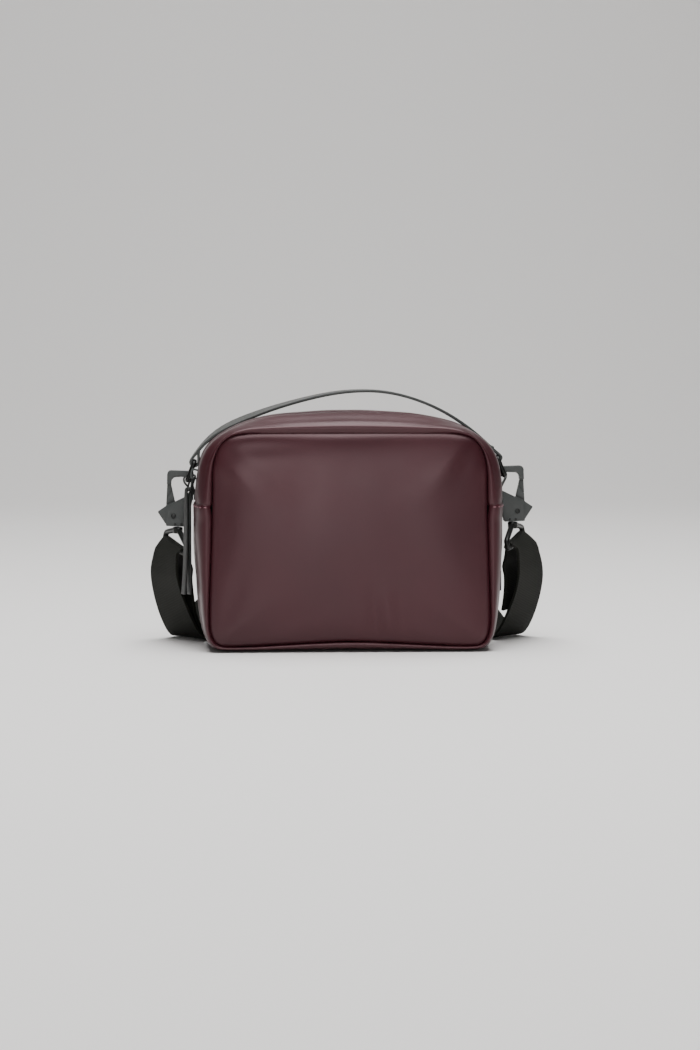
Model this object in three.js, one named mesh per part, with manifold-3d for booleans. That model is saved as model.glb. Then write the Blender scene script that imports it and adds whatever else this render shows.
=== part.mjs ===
// A small box bag of coated fabric with a zip over its top, a flat top handle,
// a sprung carabiner at each side and a webbing shoulder strap.
// Millimetres, +Z up. The front faces -Y. The origin is the middle of the flat base.

import * as THREE from 'three';
import { mergeVertices } from 'three/addons/utils/BufferGeometryUtils.js';
import Module from 'manifold-3d';

const wasm = await Module();
wasm.setup();

// Bag body
const halfWidth = 106;
const height = 162.5;
const halfDepth = 40;
const wall = 1.6;
const seamGap = 0.3;
const panelCrown = 4;
const stationsPerRow = 2;

// Zip
const zipY = -12;
const zipSlot = 10;
const tapeWidth = 26;
const tapeThickness = 0.8;
const teethWidth = 6;
const teethThickness = 1.2;
const sliderLength = 8.6;
const sliderWidth = 7;
const sliderPlate = 1.2;
const sliderSide = 0.9;
const sliderBridge = 1.6;
const bridgeWire = 1.2;
const bridgeHole = 3.5;
const sliderZ = 0.7323 * height;

// Zip puller
const pullerWire = 1.5;
const pullerRingWidth = 7.4;
const pullerRingHeight = 10.4;
const pullerLean = 3.4;
const pullerTurn = 22;
const pullerStripWidth = 6.4;
const pullerWaist = 0.5;
const pullerStripThickness = 1.5;
const pullerStripLength = 0.437 * height;

// Handle
const handleWidth = 20;
const handleThickness = 2;
const handleLap = 8.5;

// What hangs at the sides lies behind the zip, on this depth
const sideY = 15;

// Side rings and the tabs that sew them on
const ringWire = 3.2;
const ringInner = 21;
const ringReach = 13.5;
const ringCorner = 2;
const tabWidth = 6.2;
const tabThickness = 1.4;

// Carabiners
const plateThickness = 7;
const gateThickness = 3.6;
const rivetDiameter = 2.6;
const rivetHead = 0.4;
const runningGap = 0.3;

// Strap rings and the swivel posts that carry them
const strapWire = 3.6;
const strapRingHeight = 11.5;
const swivelPost = 4.4;
const swivelCollar = 7;
const swivelCollarThickness = 1.6;

// Strap
const strapWidth = 38;
const strapThickness = 1.8;
const strapSideRoom = 1.4;
const floorGap = 0.1;
const sliderBar = 3;
const sliderLengthAlong = 9;
const sliderRoom = 0.8;
const sliderCorner = 0.7;

// Side label
const labelHeight = 14;
const labelReach = 12;
const labelThickness = 0.9;
const labelZ = 0.237 * height;
const labelStation = 7.9;

// Half outline of the bag from the top centre round to the base centre, on the right.
// The crease is the seam of the panels, the side is the outline halfway back.
// X columns are shares of halfWidth, Z columns are shares of height.
const outlineRows = [
  { name: 'top_centre', creaseX: 0, creaseZ: 0.917, sideX: 0, sideZ: 1 },
  { name: 'top_quarter', creaseX: 0.377, creaseZ: 0.917, sideX: 0.34, sideZ: 0.991 },
  { name: 'shoulder_start', creaseX: 0.679, creaseZ: 0.912, sideX: 0.585, sideZ: 0.969 },
  { name: 'shoulder', creaseX: 0.814, creaseZ: 0.876, sideX: 0.774, sideZ: 0.92 },
  { name: 'shoulder_end', creaseX: 0.868, creaseZ: 0.782, sideX: 0.91, sideZ: 0.838 },
  { name: 'cheek', creaseX: 0.872, creaseZ: 0.689, sideX: 0.966, sideZ: 0.72 },
  { name: 'zip_end', creaseX: 0.873, creaseZ: 0.603, sideX: 0.995, sideZ: 0.603 },
  { name: 'side', creaseX: 0.882, creaseZ: 0.406, sideX: 0.992, sideZ: 0.406 },
  { name: 'side_low', creaseX: 0.894, creaseZ: 0.209, sideX: 0.968, sideZ: 0.197 },
  { name: 'heel', creaseX: 0.892, creaseZ: 0.092, sideX: 0.943, sideZ: 0.08 },
  { name: 'corner', creaseX: 0.854, creaseZ: 0.037, sideX: 0.901, sideZ: 0.021 },
  { name: 'under', creaseX: 0.774, creaseZ: 0.024, sideX: 0.811, sideZ: 0 },
  { name: 'base_quarter', creaseX: 0.425, creaseZ: 0.034, sideX: 0.425, sideZ: 0 },
  { name: 'base_centre', creaseX: 0, creaseZ: 0.047, sideX: 0, sideZ: 0 },
];
const zipEndRow = 6;

// Section of the puffy edge from the front seam to the middle of the depth.
// Depth is a share of halfDepth, spread runs from 0 at the crease to 1 at the side outline.
const rollRows = [
  { name: 'seam_edge', depth: -0.78, spread: 0 },
  { name: 'crease', depth: -0.925, spread: 0 },
  { name: 'lip', depth: -0.985, spread: 0.12 },
  { name: 'front', depth: -1, spread: 0.34 },
  { name: 'brow', depth: -0.95, spread: 0.6 },
  { name: 'roll', depth: -0.8, spread: 0.81 },
  { name: 'flank', depth: -0.52, spread: 0.945 },
  { name: 'middle', depth: -0.15, spread: 0.995 },
];

// Rings of a panel from its seam to its centre: spread shrinks it about its centre,
// crown is the share of panelCrown that it stands out there.
const panelRows = [
  { name: 'brow', spread: 0.975, crown: 0.12 },
  { name: 'rim', spread: 0.9, crown: 0.42 },
  { name: 'field', spread: 0.72, crown: 0.78 },
  { name: 'heart', spread: 0.4, crown: 0.96 },
];
const panelCentreZ = 0.47;
const panelEdgeDepth = 0.955;

// Soft dents of the front panel. Places are shares of halfWidth and height,
// reach and depth are shares of halfWidth.
const panelDents = [
  { name: 'top_left', x: -0.72, z: 0.8, reach: 0.2, depth: 0.02 },
  { name: 'top_right', x: 0.7, z: 0.82, reach: 0.18, depth: 0.018 },
  { name: 'low_fold', x: 0.25, z: 0.17, reach: 0.12, depth: 0.014 },
];

// Shallow dent in each side where the carabiner leans on it: shares of height, height and halfWidth
const hookDent = { z: 0.677, reach: 0.111, depth: 0.0104 };

// Centre line of the handle. X is a share of halfWidth, Z of height.
// Turn, in degrees, lowers its near edge, where it leans against the bag.
const handleRows = [
  { x: -0.915, z: 0.877, turn: 3 },
  { x: -0.775, z: 0.943, turn: 8 },
  { x: -0.595, z: 0.99, turn: 9.5 },
  { x: -0.405, z: 1.03, turn: 10 },
  { x: -0.237, z: 1.056, turn: 6.5 },
  { x: -0.062, z: 1.076, turn: 2.5 },
  { x: 0.132, z: 1.083, turn: 0 },
  { x: 0.304, z: 1.072, turn: 0 },
  { x: 0.475, z: 1.039, turn: 0 },
  { x: 0.617, z: 0.998, turn: 0 },
  { x: 0.745, z: 0.947, turn: 0 },
  { x: 0.86, z: 0.889, turn: 0 },
  { x: 0.946, z: 0.833, turn: 0 },
];

// The two tails of the puller strip: share of its length, and how far each has moved outwards
const stripTails = [
  { share: 1, innerX: 0.3, outerX: 1.9 },
  { share: 0.8, innerX: 0.1, outerX: 0.8 },
  { share: 0.55, innerX: 0, outerX: 0.2 },
  { share: 0.16, innerX: 0, outerX: 0 },
];

// Rivet of each carabiner: how far it stands off the bag's widest line, and its share of the height
const hookSides = [
  { name: 'left', side: -1, standOff: 13.6, rise: 0.55015 },
  { name: 'right', side: 1, standOff: 12.2, rise: 0.56738 },
].map(({ name, side, standOff, rise }) => ({ name, side, x: halfWidth + standOff, z: rise * height }));

// Centre line of the outer strap layer on one side, from the ring to the middle behind the bag.
// x, y and z place the near edge as shares of halfWidth, halfDepth and height.
// Out, back and up point along the width to the far edge. Inner is the distance to the
// inner layer where the strap is doubled, as a share of strapThickness.
const strapRows = [
  { x: 1.1038, y: 0.0125, z: 0.3926, out: 0.368, back: 0.926, up: 0.058, inner: 4.56 },
  { x: 1.1057, y: 0.1625, z: 0.3077, out: 0.447, back: 0.889, up: 0.068, inner: 6.67 },
  { x: 1.0736, y: 0.3875, z: 0.2166, out: 0.513, back: 0.85, up: 0.111, inner: 4.89 },
  { x: 1.017, y: 0.6, z: 0.1169, out: 0.553, back: 0.826, up: 0.089, inner: 2.44 },
  { x: 0.9585, y: 0.8, z: 0.0406, out: 0.566, back: 0.821, up: 0.013, inner: 1.44 },
  { x: 0.9009, y: 1.025, z: 0.0086, out: 0.605, back: 0.789, up: 0.008, inner: 1.22 },
  { x: 0.8208, y: 1.3, z: 0.0068, out: 0.684, back: 0.684, up: 0.237, inner: 1.22 },
  { x: 0.7453, y: 1.65, z: 0.0049, out: 0.579, back: 0.447, up: 0.658, inner: 1.22 },
  { x: 0.6934, y: 2.1, z: 0.0018, out: 0.237, back: 0.132, up: 0.961, inner: 1.22 },
  { x: 0.6698, y: 2.6, z: 0.0123, out: 0, back: 0, up: 1, inner: 1.22 },
  { x: 0.6604, y: 3.15, z: 0.0123, out: 0, back: 0, up: 1, inner: 1.22 },
  { x: 0.6321, y: 3.75, z: 0.0012, out: 0, back: 0, up: 1, inner: 1.22 },
  { x: 0.5472, y: 4.35, z: 0.0012, out: 0, back: 0, up: 1, inner: 1.22 },
  { x: 0.3962, y: 4.85, z: 0.0012, out: 0, back: 0, up: 1, inner: 1.22 },
  { x: 0.2075, y: 5.15, z: 0.0012, out: 0, back: 0, up: 1, inner: 1.22 },
  { x: 0, y: 5.25, z: 0.0012, out: 0, back: 0, up: 1, inner: 1.22 },
];
const leftDoubledRows = 11;
const rightDoubledRows = 4;
const sliderRow = 9;
const strapSteps = 2;
const riseRows = 4;

const degrees = Math.PI / 180;
const V = (x, y, z) => new THREE.Vector3(x, y, z);

// Finishes

function finish(colour, roughness, metalness) {
  return new THREE.MeshStandardMaterial({ color: colour, roughness, metalness });
}

const coatedFabric = () => finish(0x4a2f35, 0.5, 0);
const handleStrap = () => finish(0x2c2e2d, 0.55, 0);
const darkMetal = () => finish(0x3c3e3d, 0.45, 0.6);
const ringMetal = () => finish(0x2e2f2e, 0.4, 0.8);
const blackWebbing = () => finish(0x1e1f1b, 0.9, 0);
const zipTapeCloth = () => finish(0x24181b, 0.9, 0);
const zipNylon = () => finish(0x1b1416, 0.5, 0);

const bag = new THREE.Group();

function add(name, geometry, material) {
  const mesh = new THREE.Mesh(geometry, material);
  mesh.name = name;
  bag.add(mesh);
  return mesh;
}

// Solids from rings of points

function signedVolume(points, faces) {
  let sum = 0;
  for (const [a, b, c] of faces) {
    sum += points[a].dot(points[b].clone().cross(points[c]));
  }
  return sum / 6;
}

function geometryOf(points, faces) {
  const turned = signedVolume(points, faces) < 0;
  const geometry = new THREE.BufferGeometry();
  geometry.setAttribute('position', new THREE.Float32BufferAttribute(points.flatMap((p) => p.toArray()), 3));
  geometry.setIndex(faces.flatMap(([a, b, c]) => (turned ? [a, c, b] : [a, b, c])));
  return geometry;
}

function quad(a, b, c, d) {
  return [[a, b, c], [a, c, d]];
}

// Sections of equal point count joined one after another, closed by flat caps or into a ring
function loft(sections, closed = false) {
  const count = sections[0].length;
  const points = sections.flat();
  const faces = [];
  const steps = closed ? sections.length : sections.length - 1;
  for (let i = 0; i < steps; i += 1) {
    const from = i * count;
    const to = ((i + 1) % sections.length) * count;
    for (let k = 0; k < count; k += 1) {
      const next = (k + 1) % count;
      faces.push(...quad(from + k, from + next, to + next, to + k));
    }
  }
  if (!closed) {
    const last = (sections.length - 1) * count;
    for (let k = 1; k < count - 1; k += 1) {
      faces.push([0, k + 1, k], [last, last + k, last + k + 1]);
    }
  }
  return geometryOf(points, faces);
}

function gridNormals(grid, round) {
  const rows = grid.length;
  const columns = grid[0].length;
  return grid.map((row, r) => row.map((point, c) => {
    const before = round ? (c + columns - 1) % columns : Math.max(c - 1, 0);
    const after = round ? (c + 1) % columns : Math.min(c + 1, columns - 1);
    const along = row[after].clone().sub(row[before]);
    const across = V(0, 0, 0);
    if (r > 0) across.add(point.clone().sub(grid[r - 1][c]).normalize());
    if (r < rows - 1) across.add(grid[r + 1][c].clone().sub(point).normalize());
    return along.cross(across).normalize();
  }));
}

function offsetGrid(grid, normals, distance) {
  return grid.map((row, r) => row.map((p, c) => p.clone().addScaledVector(normals[r][c], distance)));
}

// A wall between two grids. Round grids close on themselves, a pole closes the last row.
function wallBetween(outer, inner, round, poles) {
  const rows = outer.length;
  const columns = outer[0].length;
  const points = [...outer.flat(), ...inner.flat()];
  const half = rows * columns;
  const at = (layer, r, c) => layer * half + r * columns + (c % columns);
  const faces = [];
  const steps = round ? columns : columns - 1;
  for (let r = 0; r < rows - 1; r += 1) {
    for (let c = 0; c < steps; c += 1) {
      faces.push(...quad(at(0, r, c), at(0, r, c + 1), at(0, r + 1, c + 1), at(0, r + 1, c)));
      faces.push(...quad(at(1, r, c), at(1, r + 1, c), at(1, r + 1, c + 1), at(1, r, c + 1)));
    }
  }
  for (let c = 0; c < steps; c += 1) {
    faces.push(...quad(at(1, 0, c), at(1, 0, c + 1), at(0, 0, c + 1), at(0, 0, c)));
    if (!poles) {
      const end = rows - 1;
      faces.push(...quad(at(0, end, c), at(0, end, c + 1), at(1, end, c + 1), at(1, end, c)));
    }
  }
  if (poles) {
    points.push(poles[0], poles[1]);
    const top = points.length - 2;
    for (let c = 0; c < steps; c += 1) {
      faces.push([at(0, rows - 1, c), at(0, rows - 1, c + 1), top]);
      faces.push([at(1, rows - 1, c + 1), at(1, rows - 1, c), top + 1]);
    }
  }
  if (!round) {
    for (let r = 0; r < rows - 1; r += 1) {
      const end = columns - 1;
      faces.push(...quad(at(0, r, 0), at(0, r + 1, 0), at(1, r + 1, 0), at(1, r, 0)));
      faces.push(...quad(at(0, r, end), at(1, r, end), at(1, r + 1, end), at(0, r + 1, end)));
    }
  }
  return geometryOf(points, faces);
}

// Booleans

function solidOf(geometry) {
  const bare = geometry.clone();
  bare.deleteAttribute('normal');
  bare.deleteAttribute('uv');
  const merged = mergeVertices(bare, 0.00001);
  return new wasm.Manifold(new wasm.Mesh({
    numProp: 3,
    vertProperties: Float32Array.from(merged.attributes.position.array),
    triVerts: Uint32Array.from(merged.index.array),
  }));
}

function geometryFrom(solid) {
  const mesh = solid.getMesh();
  const geometry = new THREE.BufferGeometry();
  geometry.setAttribute('position', new THREE.BufferAttribute(mesh.vertProperties, 3));
  geometry.setIndex(new THREE.BufferAttribute(mesh.triVerts, 1));
  return geometry;
}

// Flat outlines with rounded corners

function roundedOutline(corners, steps = 3) {
  const outline = [];
  corners.forEach(([x, y, radius = 0], i) => {
    const here = new THREE.Vector2(x, y);
    const before = new THREE.Vector2(...corners[(i + corners.length - 1) % corners.length].slice(0, 2));
    const after = new THREE.Vector2(...corners[(i + 1) % corners.length].slice(0, 2));
    if (radius === 0) {
      outline.push(here);
      return;
    }
    const toBefore = before.sub(here).normalize();
    const toAfter = after.sub(here).normalize();
    const halfAngle = Math.acos(toBefore.dot(toAfter)) / 2;
    const cut = radius / Math.tan(halfAngle);
    const start = here.clone().addScaledVector(toBefore, cut);
    const end = here.clone().addScaledVector(toAfter, cut);
    const middle = toBefore.clone().add(toAfter).normalize();
    const centre = here.clone().addScaledVector(middle, radius / Math.sin(halfAngle));
    const from = start.clone().sub(centre).angle();
    let sweep = end.clone().sub(centre).angle() - from;
    if (sweep > Math.PI) sweep -= 2 * Math.PI;
    if (sweep < -Math.PI) sweep += 2 * Math.PI;
    for (let k = 0; k <= steps; k += 1) {
      const angle = from + (sweep * k) / steps;
      const turned = new THREE.Vector2(Math.cos(angle), Math.sin(angle));
      outline.push(turned.multiplyScalar(radius).add(new THREE.Vector2(centre.x, centre.y)));
    }
  });
  return outline;
}

// A flat plate from an outline in X and Z, centred on Y = 0
function plateXZ(outline, thickness, holes = []) {
  const shape = new THREE.Shape(outline);
  holes.forEach((hole) => shape.holes.push(new THREE.Path(hole)));
  const geometry = new THREE.ExtrudeGeometry(shape, { depth: thickness, bevelEnabled: false });
  geometry.translate(0, 0, -thickness / 2);
  geometry.rotateX(Math.PI / 2);
  return geometry;
}

function pinY(diameter, length, sides = 16) {
  return new THREE.CylinderGeometry(diameter / 2, diameter / 2, length, sides);
}

// A round wire along a closed flat loop
function wireLoop(points, normal, wire, sides = 8) {
  const count = points.length;
  const sections = points.map((point, i) => {
    const before = points[(i + count - 1) % count];
    const after = points[(i + 1) % count];
    const tangent = after.clone().sub(before).normalize();
    const side = normal.clone().cross(tangent).normalize();
    return Array.from({ length: sides }, (_, k) => {
      const angle = (2 * Math.PI * k) / sides;
      return point.clone()
        .addScaledVector(side, (wire / 2) * Math.cos(angle))
        .addScaledVector(normal, (wire / 2) * Math.sin(angle));
    });
  });
  return loft(sections, true);
}

// Flat strap of a width and thickness along centre points that each carry a width direction,
// and where the strap is drawn in, a waist as a share of the width
function ribbon(stations, width, thickness) {
  const sections = stations.map(({ point, across, waist = 1 }, i) => {
    const tangent = V(0, 0, 0);
    if (i > 0) tangent.add(point.clone().sub(stations[i - 1].point).normalize());
    if (i < stations.length - 1) tangent.add(stations[i + 1].point.clone().sub(point).normalize());
    const face = tangent.normalize().cross(across).normalize();
    const corner = (a, b) => point.clone()
      .addScaledVector(across, (a * width * waist) / 2)
      .addScaledVector(face, (b * thickness) / 2);
    return [corner(-1, -1), corner(1, -1), corner(1, 1), corner(-1, 1)];
  });
  return loft(sections);
}

// Strap end folded round a bar: flat points from the end of the lap, round the bar, to the main layer.
// Along points from the bar to the strap, out points to the side of the main layer.
function foldRound(bar, along, out, barRadius, thickness, lap) {
  const radius = barRadius + seamGap + thickness / 2;
  const lapOffset = radius - thickness - seamGap;
  const bend = radius / 2 + Math.sqrt(3) * (lapOffset + (radius * Math.sqrt(3)) / 2);
  const at = (a, b) => bar.clone().addScaledVector(along, a).addScaledVector(out, b);
  const lapPoints = [at(Math.max(lap, bend + 1), lapOffset), at(bend, lapOffset)];
  return [...lapPoints, ...arcRound(bar, along, out, radius, -60, -270)];
}

function arcRound(bar, along, out, radius, from, to, steps = 7) {
  return Array.from({ length: steps + 1 }, (_, k) => {
    const angle = (from + ((to - from) * k) / steps) * degrees;
    return bar.clone()
      .addScaledVector(along, radius * Math.cos(angle))
      .addScaledVector(out, radius * Math.sin(angle));
  });
}

// Bag walls

function outlineLoop(x, z) {
  const right = outlineRows.map((row) => V(row[x] * halfWidth, 0, row[z] * height));
  const left = right.slice(1, -1).reverse().map((p) => V(-p.x, 0, p.z));
  const curve = new THREE.CatmullRomCurve3([...right, ...left], true, 'centripetal');
  const count = (right.length + left.length) * stationsPerRow;
  return Array.from({ length: count }, (_, i) => {
    const point = curve.getPoint(i / count);
    point.z = Math.max(point.z, 0);
    return point;
  });
}

const creaseLoop = outlineLoop('creaseX', 'creaseZ');
const sideLoop = outlineLoop('sideX', 'sideZ');
const loopCount = creaseLoop.length;
const zipEndStation = zipEndRow * stationsPerRow;
const zipEndHeight = outlineRows[zipEndRow].sideZ * height;

const sectionRows = [
  ...rollRows.map(({ depth, spread }) => ({ y: depth * halfDepth, spread })),
  ...[...rollRows].reverse().map(({ depth, spread }) => ({ y: -depth * halfDepth, spread })),
];

function spreadAt(y) {
  const rows = sectionRows.slice(3, -3);
  const i = Math.max(1, rows.findIndex((row) => row.y >= y));
  const share = (y - rows[i - 1].y) / (rows[i].y - rows[i - 1].y);
  return rows[i - 1].spread + share * (rows[i].spread - rows[i - 1].spread);
}

function bagPoint(station, y, spread) {
  const i = (station + loopCount) % loopCount;
  const point = creaseLoop[i].clone().lerp(sideLoop[i], spread);
  point.y = y;
  const away = Math.hypot(y - sideY, point.z - hookDent.z * height) / (hookDent.reach * height);
  point.x -= Math.sign(point.x) * hookDent.depth * halfWidth * Math.exp(-away * away) * spread;
  return point;
}

function bagGrid(rows, fromStation, toStation) {
  const stations = Array.from({ length: toStation - fromStation + 1 }, (_, i) => fromStation + i);
  return rows.map(({ y, spread }) => stations.map((station) => bagPoint(station, y, spread)));
}

// Pull the two open ends of a grid back along the wall, so that they stop short of a seam
function shortenEnds(grid, gap) {
  return grid.map((row) => {
    const last = row.length - 1;
    const copy = row.map((p) => p.clone());
    copy[0].add(row[1].clone().sub(row[0]).setLength(gap));
    copy[last].add(row[last - 1].clone().sub(row[last]).setLength(gap));
    return copy;
  });
}

function bagWall(rows, fromStation, toStation, endGap, depth = 0, thickness = wall) {
  const surface = shortenEnds(bagGrid(rows, fromStation, toStation), endGap);
  const normals = gridNormals(surface, false);
  const inward = normals[Math.floor(rows.length / 2)][Math.floor(surface[0].length / 2)];
  const middle = surface[Math.floor(rows.length / 2)][Math.floor(surface[0].length / 2)];
  const sign = inward.z * (height / 2 - middle.z) > 0 ? 1 : -1;
  const outer = offsetGrid(surface, normals, sign * depth);
  const inner = offsetGrid(surface, normals, sign * (depth + thickness));
  return wallBetween(outer, inner, false);
}

function rowsBetween(from, to) {
  const inside = sectionRows.filter(({ y }) => y > from + 1 && y < to - 1);
  return [{ y: from, spread: spreadAt(from) }, ...inside, { y: to, spread: spreadAt(to) }];
}

function addBagWalls() {
  const slotFront = zipY - zipSlot / 2;
  const slotRear = zipY + zipSlot / 2;
  const middle = sectionRows.length / 2;
  const frontRows = [...sectionRows.slice(0, middle).filter(({ y }) => y < slotFront - 1),
    { y: slotFront, spread: spreadAt(slotFront) }];
  const rearRows = [{ y: slotRear, spread: spreadAt(slotRear) }, ...sectionRows.slice(middle)];
  const left = -zipEndStation;
  const right = zipEndStation;
  add('zip_band_front', bagWall(frontRows, left, right, seamGap), coatedFabric());
  add('zip_band_rear', bagWall(rearRows, left, right, seamGap), coatedFabric());
  add('lower_gusset', bagWall(sectionRows, right, loopCount - zipEndStation, 0), coatedFabric());

  const tapeRows = rowsBetween(zipY - tapeWidth / 2, zipY + tapeWidth / 2);
  const tapeDepth = wall + seamGap;
  add('zip_tape', bagWall(tapeRows, left, right, seamGap, tapeDepth, tapeThickness), zipTapeCloth());
  const teethRows = rowsBetween(zipY - teethWidth / 2, zipY + teethWidth / 2);
  const teethDepth = tapeDepth - seamGap - teethThickness;
  add('zip_teeth', bagWall(teethRows, left, right, seamGap, teethDepth, teethThickness), zipNylon());
}

// Front and back panels

function dentAt(x, z) {
  return panelDents.reduce((sum, dent) => {
    const reach = dent.reach * halfWidth;
    const away = Math.hypot(x - dent.x * halfWidth, z - dent.z * height) / reach;
    return sum + dent.depth * halfWidth * Math.exp(-away * away);
  }, 0);
}

function insetCrease(inset) {
  return creaseLoop.map((point, i) => {
    const before = creaseLoop[(i + loopCount - 1) % loopCount];
    const after = creaseLoop[(i + 1) % loopCount];
    const along = after.clone().sub(before).normalize();
    return V(point.x + along.z * inset, 0, point.z - along.x * inset);
  });
}

function panelGeometry(facing, dented) {
  const edge = insetCrease(seamGap);
  const centre = V(0, 0, panelCentreZ * height);
  const stand = (x, z, crown) => {
    const dent = dented ? dentAt(x, z) * Math.min(1, crown * 2) : 0;
    return facing * (panelEdgeDepth * halfDepth + crown * panelCrown - dent);
  };
  const ringAt = (y) => edge.map((p) => V(p.x, y, p.z));
  const grid = rollRows.slice(0, 2).map(({ depth }) => ringAt(facing * -depth * halfDepth));
  panelRows.forEach(({ spread, crown }) => {
    grid.push(edge.map((p) => {
      const at = centre.clone().lerp(p, spread);
      return V(at.x, stand(at.x, at.z, crown), at.z);
    }));
  });
  const normals = gridNormals(grid, true);
  const sign = normals[grid.length - 1][0].y * facing > 0 ? -1 : 1;
  const inner = offsetGrid(grid, normals, sign * wall);
  const pole = V(0, stand(0, centre.z, 1), centre.z);
  return wallBetween(grid, inner, true, [pole, pole.clone().setY(pole.y - facing * wall)]);
}

// Zip slider with its bridge, puller ring and folded strip

function surfaceFrame(y, z, side) {
  const rows = Array.from({ length: zipEndStation + 1 }, (_, i) => bagPoint(i, y, spreadAt(y)));
  const i = rows.findIndex((p) => p.z <= z);
  const share = (rows[i - 1].z - z) / (rows[i - 1].z - rows[i].z);
  const point = rows[i - 1].clone().lerp(rows[i], share);
  const along = rows[i - 1].clone().sub(rows[i]).setY(0).normalize();
  return {
    point: V(side * point.x, y, point.z),
    along: V(side * along.x, 0, along.z),
    out: V(side * along.z, 0, -along.x),
  };
}

function placed(geometry, frame) {
  const matrix = new THREE.Matrix4().makeBasis(frame.along, V(0, 1, 0), frame.out);
  if (matrix.determinant() < 0) matrix.makeBasis(frame.along.clone().negate(), V(0, 1, 0), frame.out);
  matrix.setPosition(frame.point);
  return geometry.applyMatrix4(matrix);
}

const sliderFrame = surfaceFrame(zipY, sliderZ, -1);
const plateBase = 0.2; // gap between the slider's plate and the teeth
const bite = 0.1; // joined pieces run this far into each other
const bridgeInset = 0.8;
const bridgeRadius = 1.5;
const bridgeHoleRadius = 0.8;
const bridgeTop = plateBase + sliderPlate + bridgeHole + bridgeWire;

function sliderGeometry() {
  const plate = new THREE.BoxGeometry(sliderLength, sliderWidth, sliderPlate);
  plate.translate(0, 0, plateBase + sliderPlate / 2);
  let solid = solidOf(plate);
  const flangeHeight = teethThickness + plateBase + bite;
  for (const side of [-1, 1]) {
    const y = (side * (sliderWidth + sliderSide - bite)) / 2;
    const flange = new THREE.BoxGeometry(sliderLength, sliderSide, flangeHeight);
    flange.translate(0, y, plateBase + bite - flangeHeight / 2);
    const lug = new THREE.BoxGeometry(sliderLength, sliderSide, sliderPlate);
    lug.translate(0, y, plateBase + sliderPlate / 2);
    solid = solid.add(solidOf(flange)).add(solidOf(lug));
  }
  const half = sliderLength / 2 - bridgeInset;
  const inside = half - bridgeWire;
  const foot = plateBase + sliderPlate - 2 * bite;
  const arch = [[-half, foot], [half, foot],
    [half, bridgeTop, bridgeRadius], [-half, bridgeTop, bridgeRadius]];
  const holeTop = bridgeTop - bridgeWire;
  const hole = [[-inside, foot + 2 * bite], [inside, foot + 2 * bite],
    [inside, holeTop, bridgeHoleRadius], [-inside, holeTop, bridgeHoleRadius]];
  const bridge = plateXZ(roundedOutline(arch), sliderBridge, [roundedOutline(hole).reverse()]);
  return placed(geometryFrom(solid.add(solidOf(bridge))), sliderFrame);
}

const pullerHang = 0.5; // gap between the bridge and the ring that hangs in it
const pullerSlide = 0.6; // gap between the ring and the bridge's lower leg
const pullerCorner = 0.27 * pullerRingWidth;
const pullerLap = 7;
const pullerAcross = V(-Math.sin(pullerTurn * degrees), Math.cos(pullerTurn * degrees), 0);
const pullerNormal = V(Math.cos(pullerTurn * degrees), Math.sin(pullerTurn * degrees), 0);
const pullerTopAt = sliderFrame.point.clone()
  .addScaledVector(sliderFrame.out, bridgeTop - bridgeWire - pullerWire / 2 - pullerHang)
  .addScaledVector(sliderFrame.along, bridgeInset + bridgeWire + pullerWire / 2 + pullerSlide
    - sliderLength / 2);
const pullerBottomAt = pullerTopAt.clone().add(V(-pullerLean, 0, -pullerRingHeight));

function pullerRingGeometry() {
  const down = pullerBottomAt.clone().sub(pullerTopAt).normalize();
  const halfWide = pullerRingWidth / 2;
  const reach = pullerTopAt.distanceTo(pullerBottomAt);
  const outline = roundedOutline([[-halfWide, 0, pullerCorner], [halfWide, 0, pullerCorner],
    [halfWide, reach, pullerCorner], [-halfWide, reach, pullerCorner]], 4);
  const points = outline.map((p) => pullerTopAt.clone()
    .addScaledVector(pullerAcross, p.x).addScaledVector(down, p.y));
  return wireLoop(points, pullerNormal.clone().negate().normalize(), pullerWire, 8);
}

function pullerStripGeometry() {
  const bar = V(0, 0, 0);
  const fold = foldRound(bar, V(0, 0, -1), V(-1, 0, 0), pullerWire / 2, pullerStripThickness, pullerLap);
  const inner = fold[0].x;
  const outer = -(pullerWire / 2 + seamGap + pullerStripThickness / 2);
  const tail = (x, share) => ({ point: V(x, 0, -pullerStripLength * share), waist: 1 });
  const line = [
    ...stripTails.map(({ share, innerX }) => tail(inner + innerX, share)),
    ...fold.map((point, i) => ({ point, waist: i < 2 ? 1 : pullerWaist })),
    ...[...stripTails].reverse().map(({ share, outerX }) => tail(outer - outerX, share)),
  ];
  const stations = line.map(({ point, waist }) => ({
    point: pullerBottomAt.clone().add(point),
    across: pullerAcross,
    waist,
  }));
  return ribbon(stations, pullerStripWidth, pullerStripThickness);
}

// Carabiners, drawn with the rivet at the origin, X away from the bag and Z up

const nose = 22.1;
const noseGap = 0.7;
const boreOverrun = 2;
const hookOutline = [
  [4.4, nose], [4.1, 31.6, 2.6], [-14, 30.9, 1.5], [-14, 15], [-11.7, 4], [-9.3, -7.4, 1.2],
  [5.2, -6.8, 0.8], [5.2, 6.7], [-10.9, 14.4, 0.8], [-12.2, 24], [-12, 27.1, 0.6],
  [1.3, 26.8, 3.4], [1.3, nose],
];
const gateOutline = [
  [5.6, 6.5], [10.9, 3, 0.8], [5.6, -5.2], [0, -4.4], [-4.2, -2], [-4.4, 4], [-1.1, 10.2],
  [1.5, nose - noseGap], [4.2, nose - noseGap], [5, 7.2],
];
const gateSlot = [[-7.2, -5.9], [7, -5.9], [7, 16], [-7.2, 16]];

function hookFrame() {
  const body = solidOf(plateXZ(roundedOutline(hookOutline), plateThickness));
  const slot = solidOf(plateXZ(roundedOutline(gateSlot), gateThickness + 2 * runningGap));
  const bore = solidOf(pinY(rivetDiameter + 2 * runningGap, plateThickness + boreOverrun));
  return geometryFrom(body.subtract(slot).subtract(bore));
}

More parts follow.
